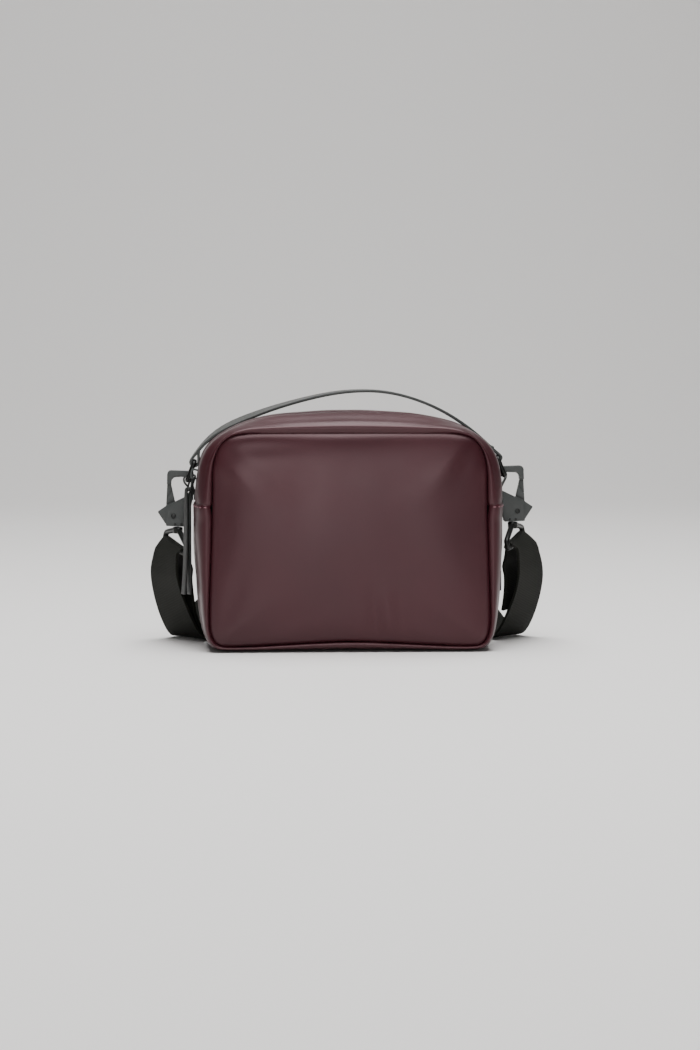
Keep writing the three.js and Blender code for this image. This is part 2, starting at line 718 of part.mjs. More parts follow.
function hookGate() {
  const body = solidOf(plateXZ(roundedOutline(gateOutline), gateThickness));
  const bore = solidOf(pinY(rivetDiameter + 2 * runningGap, gateThickness + boreOverrun));
  return geometryFrom(body.subtract(bore));
}

function hookPlaced(geometry, { side, x, z }) {
  if (side < 0) geometry.rotateZ(Math.PI);
  return geometry.translate(side * x, sideY, z);
}

function hookPoint({ side, x, z }, u, w) {
  return V(side * (x + u), sideY, z + w);
}

// Side ring: its outer bar lies in the hook under the top bar, its inner bar in the handle's fold

const ringLower = { u: -9.7, w: 24.9 };
const ringLean = 0.37;

function ringBars(hook) {
  const lower = hookPoint(hook, ringLower.u, ringLower.w);
  const up = V(-hook.side * ringLean, 0, Math.sqrt(1 - ringLean * ringLean));
  return { lower, up, upper: lower.clone().addScaledVector(up, ringReach) };
}

function sideRing(hook) {
  const { lower, up } = ringBars(hook);
  const half = (ringInner + ringWire) / 2;
  const outline = roundedOutline([[-half, 0, ringCorner], [half, 0, ringCorner],
    [half, ringReach, ringCorner], [-half, ringReach, ringCorner]]);
  const points = outline.map((p) => lower.clone().add(V(0, p.x, 0)).addScaledVector(up, p.y));
  return wireLoop(points, V(up.z, 0, -up.x), ringWire);
}

const tabSideGap = 0.4;
const tabFootRise = 2;
const tabBend = 0.55; // share of its drop where the tab turns towards the ring
const tabNeck = 2.5;

function sideTab(hook) {
  const { lower } = ringBars(hook);
  const y = sideY + ringInner / 2 - tabWidth / 2 - tabSideGap;
  const foot = surfaceFrame(y - tabWidth / 2, zipEndHeight + tabFootRise, hook.side).point;
  const footX = Math.abs(foot.x) + seamGap + tabThickness / 2;
  const barX = Math.abs(lower.x);
  const radius = ringWire / 2 + seamGap + tabThickness / 2;
  const drop = lower.z - foot.z;
  const fold = arcRound(V(barX, 0, lower.z), V(0, 0, -1), V(-1, 0, 0), radius, -90, -270)
    .map((p) => [p.x, p.z]);
  const lines = [
    [footX + tabThickness + seamGap, lower.z - drop],
    [footX + tabThickness + seamGap, lower.z - drop * tabBend],
    [barX + radius, lower.z - tabNeck],
    ...fold,
    [barX - radius, lower.z - tabNeck],
    [footX, lower.z - drop * tabBend],
    [footX, lower.z - drop],
  ];
  const stations = lines.map(([x, z]) => ({ point: V(hook.side * x, y, z), across: V(0, 1, 0) }));
  return ribbon(stations, tabWidth, tabThickness);
}

function handleGeometry() {
  const main = handleRows.map(({ x, z, turn }) => ({ point: V(x * halfWidth, 0, z * height), turn }));
  const ends = hookSides.map((hook) => {
    const bar = ringBars(hook).upper.setY(0);
    const target = hook.side < 0 ? main[0].point : main[main.length - 1].point;
    const along = target.clone().sub(bar).normalize();
    const outward = V(hook.side * along.z, 0, -hook.side * along.x);
    const fold = foldRound(bar, along, outward, ringWire / 2, handleThickness, handleLap);
    return fold.map((point) => ({ point, turn: 0 }));
  });
  const line = [...ends[0], ...main, ...ends[1].reverse()];
  const stations = line.map(({ point, turn }, i) => {
    const next = line[Math.min(i + 1, line.length - 1)].point;
    const along = next.clone().sub(line[Math.max(i - 1, 0)].point).normalize();
    const across = V(0, 1, 0).multiplyScalar(Math.cos(turn * degrees))
      .addScaledVector(V(-along.z, 0, along.x), Math.sin(turn * degrees));
    return { point: V(point.x, sideY, point.z), across };
  });
  return ribbon(stations, handleWidth, handleThickness);
}

// Strap rings on their swivel posts

const barDirection = (side) => V(side * 12.5, 35.5, 6.2).normalize();
const swivelU = -3;
const barU = -0.9;
const barDrop = 21.6;
const hookFoot = -7.8;
const swivelSides = 12;
const ringSlack = 0.2;
const strapRingCorner = 2;
const apexHalf = 3;
const apexCorner = 2.4;

function strapBar(hook) {
  return hookPoint(hook, barU, -barDrop);
}

function strapRing(hook) {
  const direction = barDirection(hook.side);
  const bar = strapBar(hook);
  const apex = hookPoint(hook, swivelU, -barDrop + strapRingHeight);
  const half = strapWidth / 2 + strapSideRoom + strapWire / 2;
  const up = apex.clone().sub(bar);
  up.addScaledVector(direction, -up.dot(direction));
  const reach = up.length();
  up.normalize();
  const shoulder = strapWire + seamGap + strapThickness + ringSlack;
  const outline = roundedOutline([[-half, 0, strapRingCorner], [half, 0, strapRingCorner],
    [half, shoulder, strapRingCorner], [apexHalf, reach, apexCorner],
    [-apexHalf, reach, apexCorner], [-half, shoulder, strapRingCorner]], 2);
  const points = outline.map((p) => bar.clone().addScaledVector(direction, p.x).addScaledVector(up, p.y));
  const loop = solidOf(wireLoop(points, direction.clone().cross(up).normalize(), strapWire));
  const postTop = hookPoint(hook, swivelU, hookFoot);
  const postEnd = bar.clone().addScaledVector(up, reach);
  const post = new THREE.CylinderGeometry(swivelPost / 2, swivelPost / 2, postTop.z - postEnd.z, swivelSides);
  post.rotateX(Math.PI / 2);
  post.translate(postTop.x, sideY, (postTop.z + postEnd.z) / 2);
  const collarHalf = swivelCollar / 2;
  const collar = new THREE.CylinderGeometry(collarHalf, collarHalf, swivelCollarThickness, swivelSides);
  collar.rotateX(Math.PI / 2);
  collar.translate(postTop.x, sideY, postTop.z - swivelCollarThickness / 2);
  return geometryFrom(loop.add(solidOf(post)).add(solidOf(collar)));
}

// Strap

function strapStation(row, side, rise) {
  const across = V(side * row.out, row.back, row.up).normalize();
  const near = V(side * row.x * halfWidth, row.y * halfDepth, row.z * height + rise);
  return { near, across, inner: row.inner * strapThickness };
}

function wrapStations(hook) {
  const across = barDirection(hook.side);
  const bar = strapBar(hook);
  const out = V(hook.side, 0, 0).addScaledVector(across, -hook.side * across.x).normalize();
  const up = V(0, 0, 1).addScaledVector(across, -across.z).normalize();
  const radius = strapWire / 2 + seamGap + strapThickness / 2;
  return [180, 150, 120, 90, 60, 40].map((angle) => ({
    point: bar.clone()
      .addScaledVector(out, radius * Math.cos(angle * degrees))
      .addScaledVector(up, radius * Math.sin(angle * degrees)),
    across,
  }));
}

// The inner layer lies on the bag's side of the outer one
function innerStations(stations, side, count) {
  return stations.slice(0, count).map(({ point, across, inner }, i) => {
    const next = stations[i + 1].point;
    const before = i > 0 ? stations[i - 1].point : point;
    const tangent = next.clone().sub(before).normalize();
    const inward = tangent.cross(across).multiplyScalar(-side).normalize();
    return { point: point.clone().addScaledVector(inward, inner), across };
  });
}

// Stations on smooth curves through the rows' near edges and width directions
function smoothStations(stations) {
  const nears = new THREE.CatmullRomCurve3(stations.map(({ near }) => near), false, 'centripetal');
  const acrosses = new THREE.CatmullRomCurve3(stations.map(({ across }) => across), false, 'centripetal');
  const count = (stations.length - 1) * strapSteps;
  return Array.from({ length: count + 1 }, (_, i) => {
    const row = Math.min(Math.floor(i / strapSteps), stations.length - 2);
    const share = i / strapSteps - row;
    const inner = stations[row].inner * (1 - share) + stations[row + 1].inner * share;
    const across = acrosses.getPoint(i / count).normalize();
    const near = nears.getPoint(i / count);
    near.z = Math.max(near.z, floorGap + (strapThickness / 2) * Math.hypot(across.x, across.y));
    return { point: near.addScaledVector(across, strapWidth / 2), across, inner };
  });
}

// The right carabiner hangs a little higher, and its strap follows it over the first rows
function outerStations(hook) {
  const rise = hook.z - Math.min(...hookSides.map(({ z }) => z));
  const rows = strapRows.map((row, i) => strapStation(row, hook.side, rise * Math.max(0, 1 - i / riseRows)));
  return smoothStations(rows);
}

function strapHalf(hook, doubledRows) {
  const outer = outerStations(hook);
  const inner = innerStations(outer, hook.side, (doubledRows - 1) * strapSteps + 1).reverse();
  return [...inner, ...wrapStations(hook), ...outer];
}

function strapGeometry() {
  const left = strapHalf(hookSides[0], leftDoubledRows);
  const right = strapHalf(hookSides[1], rightDoubledRows);
  return ribbon([...left, ...right.slice(0, -1).reverse()], strapWidth, strapThickness);
}

// A plain loop of flat bar round both layers of the strap
function strapSlider() {
  const stations = outerStations(hookSides[0]);
  const at = sliderRow * strapSteps + 1;
  const { point, across, inner } = stations[at];
  const along = stations[at + 1].point.clone().sub(stations[at - 1].point).normalize();
  const face = along.clone().cross(across).normalize();
  const insideX = strapWidth / 2 + sliderRoom;
  const insideY = (inner + strapThickness) / 2 + sliderRoom;
  const frame = (x, y, radius) => [[-x, -y, radius], [x, -y, radius], [x, y, radius], [-x, y, radius]];
  const outside = frame(insideX + sliderBar / 3, insideY + sliderBar / 2, sliderCorner);
  const shape = new THREE.Shape(roundedOutline(outside, 2));
  shape.holes.push(new THREE.Path(roundedOutline(frame(insideX, insideY, 0)).reverse()));
  const geometry = new THREE.ExtrudeGeometry(shape, { depth: sliderLengthAlong, bevelEnabled: false });
  geometry.translate(0, inner / 2, -sliderLengthAlong / 2);
  const basis = new THREE.Matrix4().makeBasis(across, face, across.clone().cross(face));
  return geometry.applyMatrix4(basis.setPosition(point));
}

// Small ribbon tab folded into the rear seam
function sideLabel() {
  const start = creaseLoop[Math.round(labelStation * stationsPerRow)];
  const y = halfDepth + seamGap + labelThickness / 2;
  const geometry = new THREE.BoxGeometry(labelReach, labelThickness, labelHeight);
  geometry.translate(start.x + labelReach / 2, y, labelZ);
  return geometry;
}

add('front_panel', panelGeometry(-1, true), coatedFabric());
add('back_panel', panelGeometry(1, false), coatedFabric());
addBagWalls();
add('zip_slider', sliderGeometry(), darkMetal());
add('puller_ring', pullerRingGeometry(), ringMetal());
add('puller_strip', pullerStripGeometry(), handleStrap());
add('handle', handleGeometry(), handleStrap());
for (const hook of hookSides) {
  add(`hook_frame_${hook.name}`, hookPlaced(hookFrame(), hook), darkMetal());
  add(`gate_${hook.name}`, hookPlaced(hookGate(), hook), darkMetal());
  add(`rivet_${hook.name}`, hookPlaced(pinY(rivetDiameter, plateThickness + rivetHead), hook), ringMetal());
  add(`side_ring_${hook.name}`, sideRing(hook), ringMetal());
  add(`side_tab_${hook.name}`, sideTab(hook), handleStrap());
  add(`strap_ring_${hook.name}`, strapRing(hook), ringMetal());
}
add('strap', strapGeometry(), blackWebbing());
add('strap_slider', strapSlider(), ringMetal());
add('side_label', sideLabel(), blackWebbing());

export default bag;
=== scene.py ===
# %% [markdown]
# # A small box bag
# The bag is sewn from coated fabric: a front and a back panel, a gusset round the sides and base,
# and two bands with the zip between them. A flat handle and a webbing strap hang on hard fittings.
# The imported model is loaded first. It fixes every size and place, and this script gives it its looks.

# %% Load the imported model
import math
import bpy
from mathutils import Matrix, Vector, noise


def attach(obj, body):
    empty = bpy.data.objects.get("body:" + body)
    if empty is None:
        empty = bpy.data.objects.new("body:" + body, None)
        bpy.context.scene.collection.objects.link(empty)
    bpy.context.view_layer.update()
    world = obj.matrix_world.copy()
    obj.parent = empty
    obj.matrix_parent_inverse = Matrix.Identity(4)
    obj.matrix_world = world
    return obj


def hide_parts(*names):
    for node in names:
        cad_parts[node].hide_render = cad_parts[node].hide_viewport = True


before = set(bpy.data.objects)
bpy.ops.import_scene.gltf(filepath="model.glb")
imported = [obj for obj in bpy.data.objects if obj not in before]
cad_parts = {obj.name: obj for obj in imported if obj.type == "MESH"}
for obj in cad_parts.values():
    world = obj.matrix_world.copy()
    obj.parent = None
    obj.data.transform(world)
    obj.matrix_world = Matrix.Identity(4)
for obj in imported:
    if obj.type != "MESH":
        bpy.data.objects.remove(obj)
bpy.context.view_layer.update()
MM = 0.001
print("CAD nodes:", len(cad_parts))

# %% [markdown]
# ## Camera
# The photograph looks almost level at the front, from a little above and a touch to the left.
# A long lens at two metres keeps the sides nearly parallel, as in the photograph.

# %% Camera at the photograph's angle
SIGHT = Vector((1.6, 0, 83.7)) * MM
CAMERA_PLACE = Vector((-88, -1996, 220)) * MM

lens = bpy.data.cameras.new("photo_camera")
lens.lens = 100
lens.sensor_width = 36
camera = bpy.data.objects.new("photo_camera", lens)
bpy.context.collection.objects.link(camera)
camera.location = CAMERA_PLACE
camera.rotation_euler = (SIGHT - CAMERA_PLACE).to_track_quat("-Z", "Y").to_euler()
bpy.context.scene.camera = camera
print("camera distance:", round((SIGHT - CAMERA_PLACE).length, 3))

# %% [markdown]
# ## Working by hand, in code
# Operators act on whatever is selected, so each step first clears the selection.
# A copy of a CAD node comes as loose triangles. Merging them and joining pairs into quads
# gives a clean cage that a Subdivision Surface can round.

# %% Helpers for meshes
def select_only(*pieces):
    """Selects these pieces and nothing else, and makes the first one active."""
    bpy.ops.object.select_all(action="DESELECT")
    for piece in pieces:
        piece.select_set(True)
    bpy.context.view_layer.objects.active = pieces[0]


def apply_modifier(piece, kind, **settings):
    """Adds one modifier with these settings and applies it."""
    select_only(piece)
    modifier = piece.modifiers.new(kind.title(), kind)
    for name, value in settings.items():
        setattr(modifier, name, value)
    bpy.ops.object.modifier_apply(modifier=modifier.name)


def ramp(value, start, end):
    """How far a value has come from start to end, from 0 to 1."""
    return min(max((value - start) / (end - start), 0), 1)


def copy_of(node, name):
    """A merged copy of a CAD node, in quads where pairs of triangles allow it."""
    piece = bpy.data.objects.new(name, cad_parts[node].data.copy())
    bpy.context.collection.objects.link(piece)
    select_only(piece)
    bpy.ops.object.mode_set(mode="EDIT")
    bpy.ops.mesh.select_all(action="SELECT")
    bpy.ops.mesh.remove_doubles(threshold=0.01 * MM)
    bpy.ops.mesh.tris_convert_to_quads(face_threshold=math.radians(60), shape_threshold=math.radians(80))
    bpy.ops.object.mode_set(mode="OBJECT")
    return piece


def rounded(piece, levels):
    """Rounds a quad cage with a Subdivision Surface and shades it smooth."""
    apply_modifier(piece, "SUBSURF", levels=levels, render_levels=levels)
    bpy.ops.object.shade_smooth()


def stand_for(piece, material, *nodes, body="root", slot=None):
    """Finishes a piece: its material, its body and the nodes it replaces. The slot is not used."""
    piece.data.materials.clear()
    piece.data.materials.append(material)
    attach(piece, body)
    if nodes:
        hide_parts(*nodes)
    print(piece.name, len(piece.data.polygons), "faces")


# %% [markdown]
# ## Colours and nodes
# Colours are noted as sRGB hex values, as a picture editor shows them, and turned to linear once.
# One helper adds a shader node with its settings, and fills or links its inputs.

# %% Helpers for materials
def linear(hex_colour):
    """The linear RGBA of an sRGB hex colour."""
    parts = [int(hex_colour[i:i + 2], 16) / 255 for i in (1, 3, 5)]
    return [c / 12.92 if c <= 0.04045 else ((c + 0.055) / 1.055) ** 2.4 for c in parts] + [1]


def new_material(name):
    """An empty node material and its node tree."""
    material = bpy.data.materials.new(name)
    material.use_nodes = True
    material.node_tree.nodes.clear()
    return material, material.node_tree


def add_node(tree, kind, inputs=None, **settings):
    """Adds a node, sets its properties, and fills or links its inputs."""
    node = tree.nodes.new(kind)
    for name, value in settings.items():
        setattr(node, name, value)
    for socket, value in (inputs or {}).items():
        if isinstance(value, bpy.types.NodeSocket):
            tree.links.new(value, node.inputs[socket])
        else:
            node.inputs[socket].default_value = value
    return node


def set_ramp(node, stops):
    """Gives a Color Ramp its stops: pairs of position and hex colour."""
    elements = node.color_ramp.elements
    while len(elements) < len(stops):
        elements.new(0.5)
    for element, (position, colour) in zip(elements, stops):
        element.position = position
        element.color = linear(colour)


# %% [markdown]
# ## Coated fabric
# The walls are polyester with a soft polyurethane coat, cast on and cured. The coat hides the weave.
# It gives a broad, satin shine over a deep wine red, a very fine grain, and slight clouding of
# the shine where hands have rubbed it. The real grain is about 0.3 mm, too fine for the render,
# so it is drawn at about 0.8 mm and kept shallow.

# %% Material: polyurethane coated fabric
def coated_fabric(name, dark, light, roughness):
    """A satin coated fabric between two close colours."""
    material, tree = new_material(name)
    place = add_node(tree, "ShaderNodeTexCoord").outputs["Object"]
    clouds = add_node(tree, "ShaderNodeTexNoise", {"Vector": place, "Scale": 1 / (60 * MM), "Detail": 3.0})
    tone = add_node(tree, "ShaderNodeValToRGB", {"Fac": clouds.outputs["Fac"]})
    set_ramp(tone, [(0.35, dark), (0.65, light)])
    rub = add_node(tree, "ShaderNodeMapRange", {"Value": clouds.outputs["Fac"], "From Min": 0.3,
        "From Max": 0.7, "To Min": roughness - 0.04, "To Max": roughness + 0.05})
    grain = add_node(tree, "ShaderNodeTexVoronoi", {"Vector": place, "Scale": 1 / (0.8 * MM)})
    bump = add_node(tree, "ShaderNodeBump", {"Height": grain.outputs["Distance"], "Strength": 0.12,
        "Distance": 0.05 * MM})
    shader = add_node(tree, "ShaderNodeBsdfPrincipled", {"Base Color": tone.outputs["Color"],
        "Roughness": rub.outputs["Result"], "IOR": 1.48, "Specular Tint": linear("#FFDFE3"),
        "Normal": bump.outputs["Normal"]})
    add_node(tree, "ShaderNodeOutputMaterial", {"Surface": shader.outputs["BSDF"]})
    return material


wine_coat = coated_fabric("wine_coated_fabric", "#301319", "#36161C", 0.36)
print("material:", wine_coat.name)

# %% [markdown]
# ## Strap rubber, painted metal and nylon
# The handle and the ring tabs are flat straps coated in grey rubber, and the puller's strip has a
# darker coat. Both are cast on, matte, with a faint pebble.
# The carabiners are cast zinc with a dark grey powder coat, the rings are black satin steel.
# The zip's coil is extruded nylon. One function makes them all: a colour, a roughness that varies
# a little with fine specks, and a bump of the same specks at the grain's own size.

# %% Material: coated strap, powder coat and satin black
def moulded(name, colour, roughness, metallic, grain, depth):
    """A plain finish with a fine bump of one grain size, in millimetres."""
    material, tree = new_material(name)
    place = add_node(tree, "ShaderNodeTexCoord").outputs["Object"]
    specks = add_node(tree, "ShaderNodeTexNoise", {"Vector": place, "Scale": 1 / (grain * MM),
        "Detail": 4.0})
    tone = add_node(tree, "ShaderNodeMapRange", {"Value": specks.outputs["Fac"], "From Min": 0.3,
        "From Max": 0.7, "To Min": roughness - 0.05, "To Max": roughness + 0.05})
    bump = add_node(tree, "ShaderNodeBump", {"Height": specks.outputs["Fac"], "Strength": 0.3,
        "Distance": depth * MM})
    shader = add_node(tree, "ShaderNodeBsdfPrincipled", {"Base Color": linear(colour),
        "Roughness": tone.outputs["Result"], "Metallic": metallic, "Normal": bump.outputs["Normal"]})
    add_node(tree, "ShaderNodeOutputMaterial", {"Surface": shader.outputs["BSDF"]})
    return material


grey_rubber = moulded("grey_rubber_coated_strap", "#2E312F", 0.42, 0.0, 1.0, 0.05)
powder_coat = moulded("powder_coated_zinc", "#333635", 0.5, 0.0, 0.7, 0.04)
satin_black = moulded("satin_black_steel", "#1C1D1C", 0.36, 0.6, 2.0, 0.02)
dark_rubber = moulded("dark_rubber_coated_strip", "#1A1C1B", 0.45, 0.0, 1.0, 0.05)
coil_nylon = moulded("nylon_zip_coil", "#241518", 0.4, 0.0, 1.0, 0.02)
for finish in (grey_rubber, powder_coat, satin_black, dark_rubber, coil_nylon):
    print("material:", finish.name)

# %% [markdown]
# ## Woven tape
# The zip's tape, the seam bindings and the side label are plain woven polyester, dull and black.
# Two crossed Wave Textures give the weave. Real threads are about 0.3 mm apart, too fine to show,
# so the waves repeat every 1.6 mm, which is a scale of 195.3125.

# %% Material: woven tape
def woven_tape(name, colour, light, scale):
    """A flat weave on object coordinates, from two crossed waves of one scale."""
    material, tree = new_material(name)
    place = add_node(tree, "ShaderNodeTexCoord").outputs["Object"]
    warp, weft = [add_node(tree, "ShaderNodeTexWave", {"Vector": place, "Scale": scale},
        bands_direction=direction) for direction in ("X", "Y")]
    weave = add_node(tree, "ShaderNodeMath", {0: warp.outputs["Fac"], 1: weft.outputs["Fac"]},
        operation="MULTIPLY")
    tone = add_node(tree, "ShaderNodeValToRGB", {"Fac": weave.outputs["Value"]})
    set_ramp(tone, [(0.1, colour), (0.9, light)])
    bump = add_node(tree, "ShaderNodeBump", {"Height": weave.outputs["Value"], "Strength": 0.5,
        "Distance": 0.12 * MM})
    shader = add_node(tree, "ShaderNodeBsdfPrincipled", {"Base Color": tone.outputs["Color"],
        "Roughness": 0.85, "IOR": 1.45, "Normal": bump.outputs["Normal"]})
    add_node(tree, "ShaderNodeOutputMaterial", {"Surface": shader.outputs["BSDF"]})
    return material


black_cloth = woven_tape("black_woven_polyester_tape", "#0E0D0D", "#1E1B1B", 195.3125)
print("material:", black_cloth.name)

# %% [markdown]
# ## Ribbed webbing
# The shoulder strap is woven polyester webbing. Its weft makes ribs across the width, 1.3 mm apart,
# and the warp crosses them more faintly. The pattern follows the strap's UV map, so it bends and
# twists with the strap. It is dull, so its specular level is low.

# %% Material: ribbed webbing
WARP_SPACING = 1.0 * MM
WARP_SHARE = 0.35


def ribbed_webbing(name, colour, light, rib, length, width):
    """Polyester webbing on the piece's UV map: u runs along its length, v across its width."""
    material, tree = new_material(name)
    uv = add_node(tree, "ShaderNodeTexCoord").outputs["UV"]
    metric = add_node(tree, "ShaderNodeMapping", {"Vector": uv, "Scale": (length, width, 1)})
    split = add_node(tree, "ShaderNodeSeparateXYZ", {"Vector": metric.outputs["Vector"]})
    ribs = add_node(tree, "ShaderNodeMath", {0: split.outputs["X"], 1: math.tau / (rib * MM)},
        operation="MULTIPLY")
    wave = add_node(tree, "ShaderNodeMath", {0: ribs.outputs["Value"]}, operation="SINE")
    threads = add_node(tree, "ShaderNodeMath", {0: split.outputs["Y"], 1: math.tau / WARP_SPACING},
        operation="MULTIPLY")
    cross = add_node(tree, "ShaderNodeMath", {0: threads.outputs["Value"]}, operation="SINE")
    weave = add_node(tree, "ShaderNodeMath", {0: cross.outputs["Value"], 1: WARP_SHARE,
        2: wave.outputs["Value"]}, operation="MULTIPLY_ADD")
    height = add_node(tree, "ShaderNodeMapRange", {"Value": weave.outputs["Value"],
        "From Min": -1 - WARP_SHARE, "From Max": 1 + WARP_SHARE})
    tone = add_node(tree, "ShaderNodeValToRGB", {"Fac": height.outputs["Result"]})
    set_ramp(tone, [(0.1, colour), (0.9, light)])
    bump = add_node(tree, "ShaderNodeBump", {"Height": height.outputs["Result"], "Strength": 0.6,
        "Distance": 0.25 * MM})
    shader = add_node(tree, "ShaderNodeBsdfPrincipled", {"Base Color": tone.outputs["Color"],
        "Roughness": 0.8, "IOR": 1.4, "Specular IOR Level": 0.3, "Normal": bump.outputs["Normal"]})
    add_node(tree, "ShaderNodeOutputMaterial", {"Surface": shader.outputs["BSDF"]})
    return material


# %% [markdown]
# ## The crease round each panel
# The seam between a panel and the gusset sets the outline of the bag's face. A few named points
# and a smooth curve through them give it, and the panels and the seam binding both follow it.

# %% Crease outline
HALF_WIDTH = 106 * MM
HEIGHT = 162.5 * MM
HALF_DEPTH = 40 * MM
CREASE_ROWS = [
    # shares of the half width and of the height, from the top centre to the base centre
    (0, 0.917), (0.377, 0.917), (0.679, 0.912), (0.814, 0.876), (0.868, 0.782), (0.872, 0.689),
    (0.873, 0.603), (0.882, 0.406), (0.894, 0.209), (0.892, 0.092), (0.854, 0.037), (0.774, 0.024),
    (0.425, 0.034), (0, 0.047),
]


def smooth_point(points, position):
    """A point on the Catmull-Rom curve through the points, at a position counted in points."""
    index = min(max(int(position), 0), len(points) - 2)
    t = position - index
    p1, p2 = points[index], points[index + 1]
    p0 = points[index - 1] if index > 0 else p1 * 2 - p2
    p3 = points[index + 2] if index + 2 < len(points) else p2 * 2 - p1
    return 0.5 * (2 * p1 + (p2 - p0) * t + (2 * p0 - 5 * p1 + 4 * p2 - p3) * t * t
                  + (3 * p1 - p0 - 3 * p2 + p3) * t ** 3)


def crease_loop(steps):
    """The closed crease, clockwise from the top centre as seen from the front."""
    right = [Vector((x * HALF_WIDTH, 0, z * HEIGHT)) for x, z in CREASE_ROWS]
    left = [Vector((-point.x, 0, point.z)) for point in right[-2:0:-1]]
    rows = [left[-1]] + right + left + [right[0], right[1]]
    count = len(right) + len(left)
    return [smooth_point(rows, 1 + i / steps) for i in range(count * steps)]


CREASE = crease_loop(8)
PANEL_CENTRE = Vector((0, 0, 0.47 * HEIGHT))
print("crease points:", len(CREASE))

# %% [markdown]
# ## Front and back panels
# A panel is cut flat, and the seam and the filling pull it into a low cushion: it rolls out of the
# crease within a few millimetres, then stays nearly flat. A square grid is pressed into the outline,
# with its rows packed close together near the crease, and each vertex is then pushed out.
# The soft dents of the photograph are low smooth hollows and folds on the front. The back panel
# leaves out the dents at the top corners, which are the first rows of the table.

# %% Shape of a panel
CREASE_DEPTH = 0.925 * HALF_DEPTH
LIP_ROLL, LIP_REACH = 1.6 * MM, 2.0 * MM
PILLOW_ROLL, PILLOW_REACH = 3.4 * MM, 11 * MM
CROWN = 3.2 * MM
CROWN_WIDTH = 0.9 * HALF_WIDTH
CROWN_HEIGHT = 0.46 * HEIGHT
GRID_ASPECT = 1.3
RIM_CROWDING = 1.5
CORNER_DENTS = 6
SOFT_FOLDS = [
    # centre x, z; direction in degrees; half length, half width, height, all in millimetres
    (-78, 122, -50, 20, 7.0, 0.7), (-84, 136, -30, 12, 6.0, -0.6), (-60, 138, 2, 26, 5.0, -0.4),
    (78, 130, 60, 16, 6.0, -0.8), (66, 122, 48, 20, 8.0, 0.5), (-86, 92, 86, 40, 7.0, -0.5),
    (17, 23, 98, 16, 4.0, -1.3), (26, 23, 96, 16, 4.5, 1.1), (-46, 20, 24, 30, 7.0, -0.5),
    (-80, 34, 70, 24, 7.0, -0.5), (60, 18, 158, 26, 7.0, -0.6), (72, 58, 118, 40, 14.0, 0.4),
    (-22, 92, 84, 70, 20.0, 0.5), (34, 84, 96, 70, 18.0, -0.3),
]


def fold_height(x, z, folds):
    """The sum of all soft folds at one place."""
    total = 0
    for fold_x, fold_z, turn, length, width, height in folds:
        angle = math.radians(turn)
        dx = x - fold_x * MM
        dz = z - fold_z * MM
        along = (dx * math.cos(angle) + dz * math.sin(angle)) / (length * MM)
        across = (dz * math.cos(angle) - dx * math.sin(angle)) / (width * MM)
        total += height * MM * math.exp(-along * along - across * across)
    return total


def outline_at(angle):
    """Where a ray from the panel's centre meets the crease, and how square it meets it."""
    direction = Vector((math.sin(angle), 0, math.cos(angle)))
    for start, end in zip(CREASE, CREASE[1:] + CREASE[:1]):
        a = start - PANEL_CENTRE
        b = end - PANEL_CENTRE
        side_a = direction.x * a.z - direction.z * a.x
        side_b = direction.x * b.z - direction.z * b.x
        if side_a <= 0 < side_b or side_b <= 0 < side_a:
            point = a.lerp(b, side_a / (side_a - side_b))
            if point.dot(direction) > 0:
                edge = (b - a).normalized()
                return point, abs(point.x * edge.z - point.z * edge.x)
    return Vector((0, 0, 0)), 1


def panel(name, facing, folds, columns=88, rows=64):
    """A cushioned panel: facing is -1 for the front and 1 for the back."""
    bpy.ops.object.select_all(action="DESELECT")
    bpy.ops.mesh.primitive_grid_add(x_subdivisions=columns, y_subdivisions=rows, size=2)
    face = bpy.context.object
    face.name = name
    for vertex in face.data.vertices:
        a, b = vertex.co.x, vertex.co.y
        share = max(abs(a), abs(b))
        reach, room = outline_at(math.atan2(a * GRID_ASPECT, b))
        inset = (1 - share) ** RIM_CROWDING
        place = PANEL_CENTRE + reach * (1 - inset)
        from_crease = inset * room
        lip = 1 - math.exp(-from_crease / LIP_REACH)
        pillow = 1 - math.exp(-from_crease / PILLOW_REACH)
        across = place.x / CROWN_WIDTH
        up = (place.z - PANEL_CENTRE.z) / CROWN_HEIGHT
        swell = max(1 - across * across, 0) * max(1 - up * up, 0)
        depth = CREASE_DEPTH + LIP_ROLL * lip + PILLOW_ROLL * pillow + CROWN * swell
        depth += fold_height(place.x, place.z, folds) * lip
        vertex.co = (place.x, facing * depth, place.z)
    return face


# %% Sew the panels in
SEAM_TURN = 5.6 * MM
RIM_STEPS = 2
WALL = 1.6 * MM


def turned_in(face, facing):
    """Extrudes the rim back into the seam and gives the fabric its thickness."""
    select_only(face)
    bpy.ops.object.mode_set(mode="EDIT")
    bpy.ops.mesh.select_all(action="SELECT")
    bpy.ops.mesh.normals_make_consistent(inside=False)
    bpy.ops.mesh.region_to_loop()
    inwards = Vector((0, -facing * SEAM_TURN / RIM_STEPS, 0))
    for step in range(RIM_STEPS):
        bpy.ops.mesh.extrude_region_move(TRANSFORM_OT_translate={"value": inwards})
    bpy.ops.object.mode_set(mode="OBJECT")
    outward = sum(polygon.normal.y * facing * polygon.area for polygon in face.data.polygons)
    if outward < 0:
        face.data.flip_normals()
    apply_modifier(face, "SOLIDIFY", thickness=WALL, offset=-1)
    bpy.ops.object.shade_smooth_by_angle(angle=math.radians(60))


for node, facing, folds in (("front_panel", -1, SOFT_FOLDS), ("back_panel", 1, SOFT_FOLDS[CORNER_DENTS:])):
    face = panel("sewn_" + node, facing, folds)
    turned_in(face, facing)
    stand_for(face, wine_coat, node)

